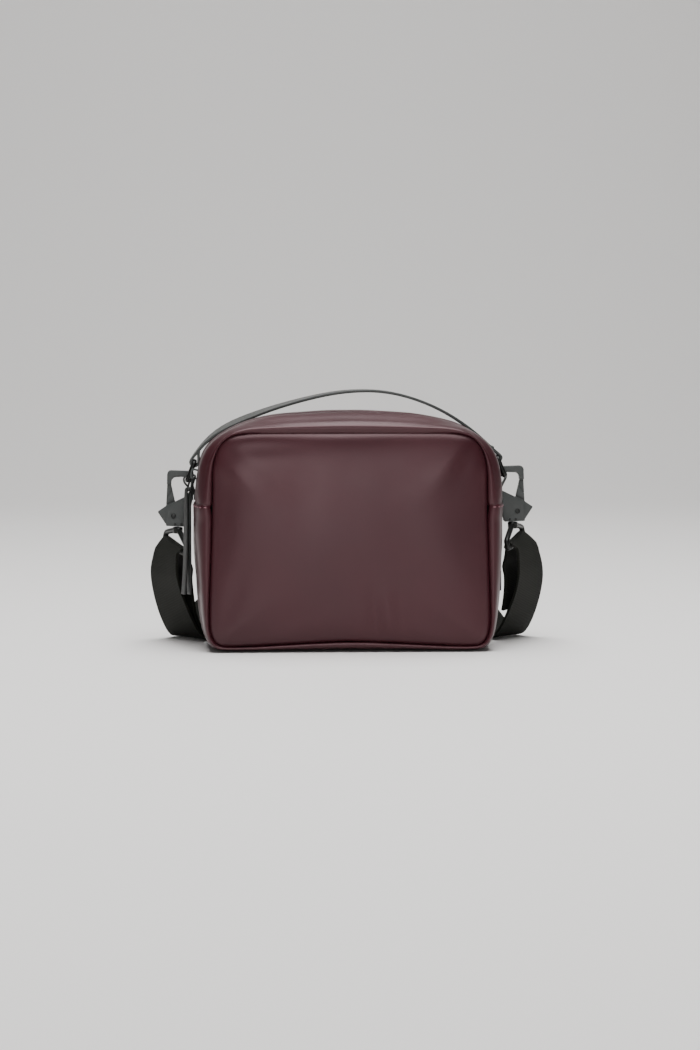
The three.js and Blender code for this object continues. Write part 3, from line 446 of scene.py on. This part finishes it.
# %% [markdown]
# ## Gusset and zip bands
# These walls curve round the bag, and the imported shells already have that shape. Each one starts as
# a copy of its shell, and a Subdivision Surface rounds the facets. The band then slumps a little
# at its front and rear edge, as the soft fabric does, and low folds run down the gusset.
# The gusset's top edge is folded over and laps over the ends of the bands, and the bands swell
# at the shoulders of the bag. Close to a seam every wall keeps its packed place.

# %% Slump and crumple
SLUMP_ROWS = [
    # share of the half depth, and how far the wall is lowered there, as a share of the band's rise
    (0, -0.03), (0.55, -0.03), (0.65, 0.02), (0.8, 0.15), (0.95, 0.16), (1, 0.07), (1.1, 0),
]
BAND_RISE = 13.5 * MM
BAND_BOTTOM = 0.7 * HEIGHT
ZIP_END = 98 * MM
CRUMPLES = {"lower_gusset": 1.0 * MM, "zip_band_front": 0.4 * MM, "zip_band_rear": 0.5 * MM}
CRUMPLE_STRETCH = Vector((0.6, 1, 0.45)) / (15 * MM)


def between_rows(rows, value):
    """Reads a two-column table at a value, straight between its rows."""
    for (x0, y0), (x1, y1) in zip(rows, rows[1:]):
        if value <= x1:
            return y0 + (y1 - y0) * (value - x0) / (x1 - x0)
    return rows[-1][1]


def slump(piece):
    """Lowers the top of a wall towards its front and rear edges."""
    for vertex in piece.data.vertices:
        x, y, z = vertex.co
        middle = ramp(abs(x) / HALF_WIDTH, 0.74, 0.5)
        if z > BAND_BOTTOM:
            vertex.co.z -= BAND_RISE * between_rows(SLUMP_ROWS, abs(y) / HALF_DEPTH) * middle


def crumple(piece, height):
    """Moves a wall along its normals by soft noise, as loose fabric lies, but not at its seams."""
    moves = []
    for vertex in piece.data.vertices:
        x, y, z = vertex.co
        soft = noise.noise(vertex.co * CRUMPLE_STRETCH)
        seam = ramp(abs(y), CREASE_DEPTH, CREASE_DEPTH - 6 * MM)
        base = ramp(z, 3 * MM, 11 * MM)
        lap = ramp(abs(z - ZIP_END), 0, 8 * MM)
        moves.append(vertex.normal * soft * height * seam * base * lap)
    for vertex, move in zip(piece.data.vertices, moves):
        vertex.co += move


print("wall noise:", CRUMPLES)

# %% Fold the gusset over and fill the shoulders
FOLD_LAP = 2.7 * MM
FOLD_PROUD = 0.9 * MM
SHOULDER_TOP = 158 * MM
SHOULDER_SWELL = 2.4 * MM
TUCK = 0.5 * MM
SEAM_FACE = 0.9 * HALF_DEPTH


def fold_over(piece):
    """Raises the folded edge of the gusset where it laps over the ends of the zip bands."""
    for vertex in piece.data.vertices:
        x, y, z = vertex.co
        near = ramp(z, ZIP_END - 8 * MM, ZIP_END - 2 * MM)
        outside = ramp(abs(x) / HALF_WIDTH, 0.84, 0.87)
        vertex.co.x += math.copysign(FOLD_PROUD * near * outside, x)
        vertex.co.z += FOLD_LAP * near * near * outside
        if abs(y) > SEAM_FACE:
            vertex.co.y += math.copysign(0.7 * FOLD_PROUD * near, y)


def fill_shoulders(piece):
    """Swells the zip bands at the shoulders and tucks their ends under the gusset's fold."""
    for vertex in piece.data.vertices:
        x, y, z = vertex.co
        climb = ramp(z, ZIP_END, SHOULDER_TOP)
        side = ramp(abs(x) / HALF_WIDTH, 0.5, 0.7)
        seam = ramp(abs(y) / HALF_DEPTH, 0.93, 0.78)
        swell = SHOULDER_SWELL * math.sin(math.pi * climb) * side * seam
        tuck = TUCK * ramp(z, ZIP_END + 5 * MM, ZIP_END)
        vertex.co.x += math.copysign(0.85 * swell - tuck, x)
        vertex.co.z += 0.5 * swell
        if abs(y) > SEAM_FACE:
            vertex.co.y -= math.copysign(tuck, y)


print("gusset laps over the bands by", round(FOLD_LAP / MM, 1), "mm")

# %% Dress the gusset and both bands
for node in ("lower_gusset", "zip_band_front", "zip_band_rear"):
    wall = copy_of(node, "sewn_" + node)
    rounded(wall, 2)
    slump(wall)
    crumple(wall, CRUMPLES[node])
    if node == "lower_gusset":
        fold_over(wall)
    else:
        fill_shoulders(wall)
    stand_for(wall, wine_coat, node)

# %% [markdown]
# ## Seam binding
# Inside a sewn bag a narrow tape is folded over the raw edges of each seam. It also closes the
# seam, so no light shows through. A curve with a round profile follows the crease just inside.

# %% Bind both seams
BINDING_INSET = 0.99
BINDING_DEPTH = 0.77 * HALF_DEPTH
BINDING_RADIUS = 2.6 * MM


def tube_along(name, points, radius, sides):
    """A closed tube of one radius along a loop of points."""
    curve = bpy.data.curves.new(name, "CURVE")
    curve.dimensions = "3D"
    curve.bevel_depth = radius
    curve.bevel_resolution = sides
    spline = curve.splines.new("POLY")
    spline.points.add(len(points) - 1)
    for spot, point in zip(spline.points, points):
        spot.co = (*point, 1)
    spline.use_cyclic_u = True
    piece = bpy.data.objects.new(name, curve)
    bpy.context.collection.objects.link(piece)
    select_only(piece)
    bpy.ops.object.convert(target="MESH")
    bpy.ops.object.shade_smooth()
    return bpy.context.object


for name, facing in (("front", -1), ("rear", 1)):
    loop = [PANEL_CENTRE + (point - PANEL_CENTRE) * BINDING_INSET for point in CREASE]
    for point in loop:
        point.y = facing * BINDING_DEPTH
    binding = tube_along("seam_binding_" + name, loop, BINDING_RADIUS, 2)
    stand_for(binding, black_cloth, slot="zip_cloth")

# %% [markdown]
# ## Ribbons on a grid
# A flat strap is a long grid whose rows follow the strap and whose columns cross it.
# The grid primitive brings a UV map with it, so the ribs of the webbing follow every twist.
# Solidify then gives the band its thickness.

# %% Helpers for ribbons
def ribbon(name, stations, width, thickness, steps, columns):
    """A flat band through stations of a centre point and a width direction."""
    points = [point for point, across in stations]
    acrosses = [across for point, across in stations]
    rows = (len(stations) - 1) * steps
    bpy.ops.object.select_all(action="DESELECT")
    bpy.ops.mesh.primitive_grid_add(x_subdivisions=rows, y_subdivisions=columns, size=2)
    band = bpy.context.object
    band.name = name
    for vertex in band.data.vertices:
        position = (vertex.co.x + 1) / 2 * rows / steps
        across = smooth_point(acrosses, position).normalized()
        vertex.co = smooth_point(points, position) + across * (vertex.co.y * width / 2)
    apply_modifier(band, "SOLIDIFY", thickness=thickness, offset=0)
    bpy.ops.object.shade_smooth_by_angle(angle=math.radians(50))
    return band


# %% [markdown]
# ## Shoulder strap
# One 38 mm webbing runs through both strap rings. It hangs down beside the bag, turns onto its edge
# and makes a plain bow behind it. Its ends are folded back and sewn, so it is double near the rings.
# Each row of the table places the near edge, the direction to the far edge and the inner layer.
# Beside the bag the outer layer then stands further out, by a spread of both its edges in each row.
# The right half also hangs a little higher than the left one.

# %% Rows of the strap
STRAP_WIDTH = 38 * MM
STRAP_THICKNESS = 1.8 * MM
STRAP_ROWS = [
    # near edge, direction to the far edge, distance to the inner layer
    ((117, 0.5, 63.8), (14, 35.2, 2.2), 8.2),
    ((117.2, 6.5, 50), (17, 33.8, 2.6), 12),
    ((113.8, 15.5, 35.2), (19.5, 32.3, 4.2), 8.8),
    ((107.8, 24, 19), (21, 31.4, 3.4), 4.4),
    ((101.6, 32, 6.6), (21.5, 31.2, 0.5), 2.6),
    ((95.5, 41, 1.4), (23, 30, 0.3), 2.2),
    ((87, 52, 1.1), (26, 26, 9), 2.2),
    ((79, 66, 0.8), (22, 17, 25), 2.2),
    ((73.5, 84, 0.3), (9, 5, 36.5), 2.2),
    ((71, 104, 2), (0, 0, 38), 2.2),
    ((70, 126, 2), (0, 0, 38), 2.2),
    ((67, 150, 0.2), (0, 0, 38), 2.2),
    ((58, 174, 0.2), (0, 0, 38), 2.2),
    ((42, 194, 0.2), (0, 0, 38), 2.2),
    ((22, 206, 0.2), (0, 0, 38), 2.2),
    ((0, 210, 0.2), (0, 0, 38), 2.2),
]
RISE_ROWS = 4
LEFT_DOUBLED_ROWS = 11
RIGHT_DOUBLED_ROWS = 4
FLOOR_GAP = 0.1 * MM
LEFT_SPREAD = [(0, 1), (0, 1.2), (0, 2), (0, 3.5), (0, 3.5), (0, 2.5)]
RIGHT_SPREAD = [(0, 2.5), (1.5, 4), (3.6, 6.5), (4.5, 8.7), (5, 9), (4.5, 7.5), (3, 3), (1.5, 1.5)]
RIGHT_RISE = 2.8 * MM


def mirrored(values, side):
    """A point or direction in millimetres, on the left or the right of the bag, in metres."""
    return Vector((side * values[0], values[1], values[2])) * MM


def outer_stations(side, rise, spread):
    """Stations of the outer layer, with both its edges pushed outwards by the spread of that row."""
    stations = []
    for row, (near, direction, inner) in enumerate(STRAP_ROWS):
        near_out, far_out = spread[row] if row < len(spread) else (0, 0)
        lift = Vector((0, 0, rise * max(0, 1 - row / RISE_ROWS)))
        start = mirrored(near, side) + lift + Vector((side * near_out * MM, 0, 0))
        reach = mirrored(direction, side).normalized() * STRAP_WIDTH
        across = (reach + Vector((side * (far_out - near_out) * MM, 0, 0))).normalized()
        stations.append((start, across, inner * MM))
    return stations


def refined(stations, steps):
    """More stations between the rows, on smooth curves through near edges and directions."""
    nears = [near for near, across, inner in stations]
    acrosses = [across for near, across, inner in stations]
    fine = []
    for i in range((len(stations) - 1) * steps + 1):
        position = i / steps
        index = min(int(position), len(stations) - 2)
        share = position - index
        inner = stations[index][2] * (1 - share) + stations[index + 1][2] * share
        across = smooth_point(acrosses, position).normalized()
        near = smooth_point(nears, position)
        lowest = FLOOR_GAP + STRAP_THICKNESS / 2 * math.hypot(across.x, across.y)
        near.z = max(near.z, lowest)
        fine.append((near + across * STRAP_WIDTH / 2, across, inner))
    return fine


print("strap rows on each side:", len(STRAP_ROWS))

# %% Inner layer and fold round each strap ring
HOOKS = {"left": (-1, 119.6, 89.4), "right": (1, 118.2, 92.2)}
SIDE_Y = 15
BAR_DIRECTION = (12.5, 35.5, 6.2)
STRAP_WIRE = 3.6 * MM
SEAM_GAP = 0.3 * MM
STRAP_STEPS = 2
BAR_PLACE = (-0.9, -21.6)
WRAP_ANGLES = (180, 150, 120, 90, 60, 40)


def hook_point(hook, u, w, y=SIDE_Y):
    """A point on a carabiner, from its rivet: u outwards and w up, in millimetres."""
    side, x, z = HOOKS[hook]
    return Vector((side * (x + u), y, z + w)) * MM


def inner_stations(outer, side, count):
    """The layer that lies on the bag's side of the outer one."""
    layer = []
    for i, (point, across, inner) in enumerate(outer[:count]):
        before = outer[i - 1][0] if i > 0 else point
        tangent = (outer[i + 1][0] - before).normalized()
        inward = (tangent.cross(across) * -side).normalized()
        layer.append((point + inward * inner, across))
    return layer


def wrap_stations(hook):
    """The fold of the strap round the bar of its ring."""
    side = HOOKS[hook][0]
    across = mirrored(BAR_DIRECTION, side).normalized()
    bar = hook_point(hook, *BAR_PLACE)
    out = Vector((side, 0, 0)) - across * side * across.x
    up = Vector((0, 0, 1)) - across * across.z
    out.normalize()
    up.normalize()
    radius = STRAP_WIRE / 2 + SEAM_GAP + STRAP_THICKNESS / 2
    stations = []
    for angle in WRAP_ANGLES:
        turn = math.radians(angle)
        stations.append((bar + (out * math.cos(turn) + up * math.sin(turn)) * radius, across))
    return stations


def strap_half(hook, rise, spread, doubled_rows):
    """Stations of one half of the strap, from the sewn end to the middle behind the bag."""
    side = HOOKS[hook][0]
    outer = refined(outer_stations(side, rise, spread), STRAP_STEPS)
    inner = inner_stations(outer, side, (doubled_rows - 1) * STRAP_STEPS + 1)
    return inner[::-1] + wrap_stations(hook) + [(point, across) for point, across, gap in outer]


# %% Shoulder strap
left_half = strap_half("left", 0, LEFT_SPREAD, LEFT_DOUBLED_ROWS)
right_half = strap_half("right", RIGHT_RISE, RIGHT_SPREAD, RIGHT_DOUBLED_ROWS)
strap_stations = left_half + right_half[:-1][::-1]
strap_length = sum((b[0] - a[0]).length for a, b in zip(strap_stations, strap_stations[1:]))
black_webbing = ribbed_webbing("black_polyester_webbing", "#0E0F0B", "#1B1C17", 1.3, strap_length,
    STRAP_WIDTH)
strap = ribbon("shoulder_strap", strap_stations, STRAP_WIDTH, STRAP_THICKNESS, steps=2, columns=8)
stand_for(strap, black_webbing, "strap")
print("webbing in the strap:", round(strap_length, 3), "m")

# %% [markdown]
# ## Small cloth pieces and hard fittings
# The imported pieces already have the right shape. Copies of them get rounded edges,
# because a real cast or bent edge always catches a thin line of light.

# %% Fittings with rounded edges
def edged(piece, width, segments=2, angle=40):
    """Rounds the edges sharper than an angle in degrees, by a width in millimetres."""
    apply_modifier(piece, "BEVEL", width=width * MM, segments=segments, limit_method="ANGLE",
        angle_limit=math.radians(angle))


def shaded_with_edges():
    """Smooth shading of the selected piece, which keeps its real edges."""
    bpy.ops.object.shade_smooth_by_angle(angle=math.radians(40))


def fitting(node, name, material, edge):
    """A copy of a CAD node with its sharp edges rounded."""
    piece = copy_of(node, name)
    edged(piece, edge)
    shaded_with_edges()
    stand_for(piece, material, node)
    return piece


def soft_band(node, name, material, edge):
    """A copy of a strap's node: its edges rounded, then its bends smoothed."""
    piece = copy_of(node, name)
    edged(piece, edge, angle=50)
    rounded(piece, 2)
    stand_for(piece, material, node)
    return piece


def wire(node, name, material, gain):
    """A bent wire: its packed copy, rounded, then grown back to its full thickness in millimetres."""
    piece = copy_of(node, name)
    rounded(piece, 1)
    moves = [vertex.normal * gain * MM for vertex in piece.data.vertices]
    for vertex, move in zip(piece.data.vertices, moves):
        vertex.co += move
    stand_for(piece, material, node)
    return piece


for side in ("left", "right"):
    soft_band("side_tab_" + side, "ring_tab_" + side, grey_rubber, 0.3)
    wire("side_ring_" + side, "bent_ring_" + side, satin_black, 0.12)
    wire("strap_ring_" + side, "swivel_ring_" + side, satin_black, 0.3)
print("tabs and rings: 6")

# %% [markdown]
# ## Carabiners
# Each one is a flat zinc casting with a sprung gate, held by a rivet. Two slanting grooves mark the
# gate, two small dark discs on each face of the foot are painted shade for its notches, and the
# swivel barrel turns under it. The castings are copies of the imported ones. Cutters remove the
# grooves, and a bevel rounds every edge after that.

# %% Groove cutters and small turned pieces
def turned(name, place, radius, depth, axis="Y", edge=0.3):
    """A short turned piece, such as a rivet head, with a rounded rim."""
    bpy.ops.object.select_all(action="DESELECT")
    turn = (math.pi / 2, 0, 0) if axis == "Y" else (0, 0, 0)
    bpy.ops.mesh.primitive_cylinder_add(vertices=24, radius=radius * MM, depth=depth * MM,
        location=place, rotation=turn)
    piece = bpy.context.object
    piece.name = name
    bpy.ops.object.transform_apply(location=True, rotation=True, scale=True)
    edged(piece, edge, segments=3, angle=50)
    shaded_with_edges()
    return piece


def groove_cutter(start, end, y, width=0.6, depth=3.0):
    """A thin bar that cuts a groove between two points of a face."""
    middle = (start + end) / 2
    middle.y = y
    along = end - start
    bpy.ops.object.select_all(action="DESELECT")
    bpy.ops.mesh.primitive_cube_add(size=1, location=middle, scale=(along.length, depth * MM, width * MM),
        rotation=(0, -math.atan2(along.z, along.x), 0))
    cutter = bpy.context.object
    bpy.ops.object.transform_apply(location=True, rotation=True, scale=True)
    return cutter


def cut(piece, cutter):
    """Cuts one piece by another, which is then thrown away."""
    apply_modifier(piece, "BOOLEAN", object=cutter, operation="DIFFERENCE", solver="EXACT")
    bpy.data.objects.remove(cutter)


# %% Both carabiners
# All measures are in millimetres from the rivet: outwards and up.
PLATE_HALF = 3.5
GATE_HALF = 1.8
NOSE = 21
NOSE_LIFT = 0.45
GROOVES = [((0.4, 18.6), (4.6, 12.6)), ((-1.2, 10.6), (4.8, 8.2))]
HEAD_RADIUS, HEAD_DEPTH, HEAD_PROUD = 1.75, 0.5, 0.1
# Dark discs on both faces of the foot, painted shade for its notches: their radius, depth and places.
SHADE_DISC_RADIUS, SHADE_DISC_DEPTH = 0.85, 0.4
FOOT_SHADE_DISCS = [(-1.2, -5.6), (-5.4, -5.6)]
BARREL_PLACE = (-3, -10)
BARREL_RADIUS, BARREL_DEPTH = 3.4, 4.4


def grooved_gate(side):
    """The sprung gate: its nose reaches up to the casting, and each face has two grooves."""
    gate = copy_of("gate_" + side, "carabiner_gate_" + side)
    for vertex in gate.data.vertices:
        if vertex.co.z > hook_point(side, 0, NOSE).z:
            vertex.co.z += NOSE_LIFT * MM
    for start, end in GROOVES:
        for face in (-1, 1):
            line = [hook_point(side, *start), hook_point(side, *end)]
            cut(gate, groove_cutter(*line, (SIDE_Y + face * GATE_HALF) * MM))
    edged(gate, 0.25)
    shaded_with_edges()
    stand_for(gate, powder_coat, "gate_" + side, body="gate_" + side)


def headed_rivet(side):
    """The rivet with a head on each face, and dark discs on the foot's faces: painted shade for its
    notches.
    """
    rivet = copy_of("rivet_" + side, "carabiner_rivet_" + side)
    heads_and_shade_discs = []
    for face in (-1, 1):
        head_y = SIDE_Y + face * (PLATE_HALF + HEAD_PROUD)
        middle = hook_point(side, 0, 0, head_y)
        heads_and_shade_discs.append(turned("rivet_head", middle, HEAD_RADIUS, HEAD_DEPTH))
        # Dark discs on the foot, painted shade for its notches, not steel pins.
        for place in FOOT_SHADE_DISCS:
            shade_disc_place = hook_point(side, *place, head_y)
            heads_and_shade_discs.append(turned("foot_shade_disc", shade_disc_place, SHADE_DISC_RADIUS, SHADE_DISC_DEPTH, edge=0.1))
    select_only(rivet, *heads_and_shade_discs)
    bpy.ops.object.join()
    shaded_with_edges()
    stand_for(rivet, satin_black, "rivet_" + side)


for side in ("left", "right"):
    grooved_gate(side)
    fitting("hook_frame_" + side, "carabiner_" + side, powder_coat, 0.45)
    headed_rivet(side)
    barrel = turned("swivel_barrel_" + side, hook_point(side, *BARREL_PLACE), BARREL_RADIUS,
        BARREL_DEPTH, axis="Z", edge=0.8)
    stand_for(barrel, satin_black, slot="ring_metal")
print("carabiners: 2")

# %% [markdown]
# ## Handle, zip, puller and label
# The handle's left end is pressed down a little where it meets its ring, and the twist of its left
# part is softened, as the photograph shows. The ribbon label hangs clear of the strap, further out
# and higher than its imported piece.

# %% Handle
HANDLE_PRESS = 1.0
PRESS_CENTRE, PRESS_REACH = -76, 22
HANDLE_UNTWIST = 0.1
UNTWIST_CENTRE, UNTWIST_REACH = -42, 30
HANDLE_FRONT = 5
HANDLE_BOTTOM = 130

handle = soft_band("handle", "flat_handle", grey_rubber, 0.5)
for vertex in handle.data.vertices:
    x, y, z = vertex.co / MM
    if z > HANDLE_BOTTOM:
        press = HANDLE_PRESS * math.exp(-((x - PRESS_CENTRE) / PRESS_REACH) ** 2)
        near_twist = math.exp(-((x - UNTWIST_CENTRE) / UNTWIST_REACH) ** 2)
        untwist = HANDLE_UNTWIST * (y - HANDLE_FRONT) * near_twist
        vertex.co.z -= (press + untwist) * MM
print("handle vertices:", len(handle.data.vertices))

# %% Zip, puller, strap slider and label
LABEL_SHIFT = Vector((3.2, 0, 2.9)) * MM

fitting("zip_slider", "zip_slider_body", powder_coat, 0.2)
soft_band("puller_strip", "folded_puller_strip", dark_rubber, 0.35)
fitting("strap_slider", "webbing_slider", satin_black, 0.5)
fitting("zip_tape", "woven_zip_tape", black_cloth, 0.1)
fitting("zip_teeth", "zip_coil", coil_nylon, 0.3)
label = fitting("side_label", "ribbon_label", black_cloth, 0.2)
label.data.transform(Matrix.Translation(LABEL_SHIFT))
wire("puller_ring", "puller_link", satin_black, 0.06)
print("small fittings: 7")

# %% [markdown]
# ## Stitches
# Thread shows where the folded edge of the gusset is sewn over the ends of the zip bands, at each
# side of the bag. One small stitch is modelled: a stretched sphere with few faces. It is copied
# along the seam with its own mesh, and each row is joined. Rays find the wall under each stitch.

# %% Stitch rows
STITCH_BELOW_EDGE = 2.4 * MM
STITCH_HEIGHT = ZIP_END + FOLD_LAP - STITCH_BELOW_EDGE
STITCH_PROUD = 0.05 * MM
SIDE_STEP = 3.4 * MM
FRONT_START = 97.5 * MM
FRONT_STEP = 3.2 * MM
RAY_START = 0.2

wine_thread = moulded("wine_polyester_thread", "#8A6068", 0.6, 0.0, 0.5, 0.05)
gusset = bpy.data.objects["sewn_lower_gusset"]


def stitch_places(starts, direction):
    """Where rays meet the gusset, each with the direction of its seam there."""
    places = []
    for start in starts:
        hit, point, normal, index = gusset.ray_cast(start, direction)
        if hit:
            along = normal.cross(Vector((0, 0, 1))).normalized()
            places.append((point + normal * STITCH_PROUD, along))
    return places


def stitch_row(name, material, places, length, thickness, slot):
    """Sews one row: places are pairs of a point and a direction."""
    bpy.ops.object.select_all(action="DESELECT")
    bpy.ops.mesh.primitive_uv_sphere_add(segments=8, ring_count=6, radius=0.5 * MM)
    stitch = bpy.context.object
    size = Matrix.Diagonal((length, thickness, thickness, 1))
    copies = []
    for point, along in places:
        turn = along.to_track_quat("X", "Z").to_matrix().to_4x4()
        copy = bpy.data.objects.new(name, stitch.data.copy())
        copy.data.transform(Matrix.Translation(point) @ turn @ size)
        bpy.context.collection.objects.link(copy)
        copies.append(copy)
    bpy.data.objects.remove(stitch)
    select_only(*copies)
    bpy.ops.object.join()
    row = bpy.context.object
    row.name = name
    bpy.ops.object.shade_smooth()
    stand_for(row, material, slot=slot)


for side, facing in (("left", -1), ("right", 1)):
    beside = [Vector((facing * RAY_START, step * SIDE_STEP, STITCH_HEIGHT)) for step in range(-11, 12)]
    before = [Vector((facing * (FRONT_START + step * FRONT_STEP), -RAY_START, STITCH_HEIGHT))
        for step in range(3)]
    places = stitch_places(beside, Vector((-facing, 0, 0)))
    places += stitch_places(before, Vector((0, 1, 0)))
    stitch_row("gusset_fold_stitches_" + side, wine_thread, places, 2.3, 0.6, "coated_fabric")
    print("stitches at the", side, "side:", len(places))

# %% [markdown]
# ## Studio
# The photograph is lit by one large soft light from above and a weak fill from the front.
# The floor runs up into the backdrop without a corner, so no horizon shows.

# %% Floor and lights
def soft_light(name, place, target, width, depth, power):
    """A rectangular softbox that faces a target."""
    light = bpy.data.lights.new(name, "AREA")
    light.shape = "RECTANGLE"
    light.size = width
    light.size_y = depth
    light.energy = power
    box = bpy.data.objects.new(name, light)
    bpy.context.collection.objects.link(box)
    box.location = place
    box.rotation_euler = (Vector(target) - Vector(place)).to_track_quat("-Z", "Y").to_euler()
    return box


backdrop_paint, backdrop_tree = new_material("pale_backdrop_paper")
paper = add_node(backdrop_tree, "ShaderNodeBsdfPrincipled", {"Base Color": linear("#EAE8E6"),
    "Roughness": 0.9})
add_node(backdrop_tree, "ShaderNodeOutputMaterial", {"Surface": paper.outputs["BSDF"]})

bpy.ops.object.select_all(action="DESELECT")
bpy.ops.mesh.primitive_grid_add(x_subdivisions=1, y_subdivisions=48, size=2)
backdrop = bpy.context.object
backdrop.name = "studio_backdrop"
PAPER_HALF_WIDTH = 4
PAPER_LENGTH = 8
PAPER_START = -3
FLOOR_DEPTH = 1.6
SWEEP_RADIUS = 1.2
for vertex in backdrop.data.vertices:
    along = PAPER_START + PAPER_LENGTH * (vertex.co.y + 1) / 2
    x = PAPER_HALF_WIDTH * vertex.co.x
    bend = min(max((along - FLOOR_DEPTH) / SWEEP_RADIUS, 0), math.pi / 2)
    rest = max(along - FLOOR_DEPTH - SWEEP_RADIUS * math.pi / 2, 0)
    flat = min(along, FLOOR_DEPTH)
    vertex.co = (x, flat + SWEEP_RADIUS * math.sin(bend), SWEEP_RADIUS * (1 - math.cos(bend)) + rest)
backdrop.data.materials.append(backdrop_paint)
bpy.ops.object.shade_smooth()

soft_light("overhead_softbox", (0, -0.4, 1.5), (0, -0.4, 0), 1.3, 1.8, 52)
soft_light("front_fill", (-0.05, -2.4, 0.42), (0, 0, 0.1), 0.5, 0.6, 10)
soft_light("backdrop_wash", (0, 0.9, 1.9), (0, 2.6, 0.4), 1.6, 0.7, 29)
world = bpy.data.worlds.new("studio_air")
world.use_nodes = True
world.node_tree.nodes["Background"].inputs["Color"].default_value = linear("#D8D8D8")
world.node_tree.nodes["Background"].inputs["Strength"].default_value = 0.12
bpy.context.scene.world = world
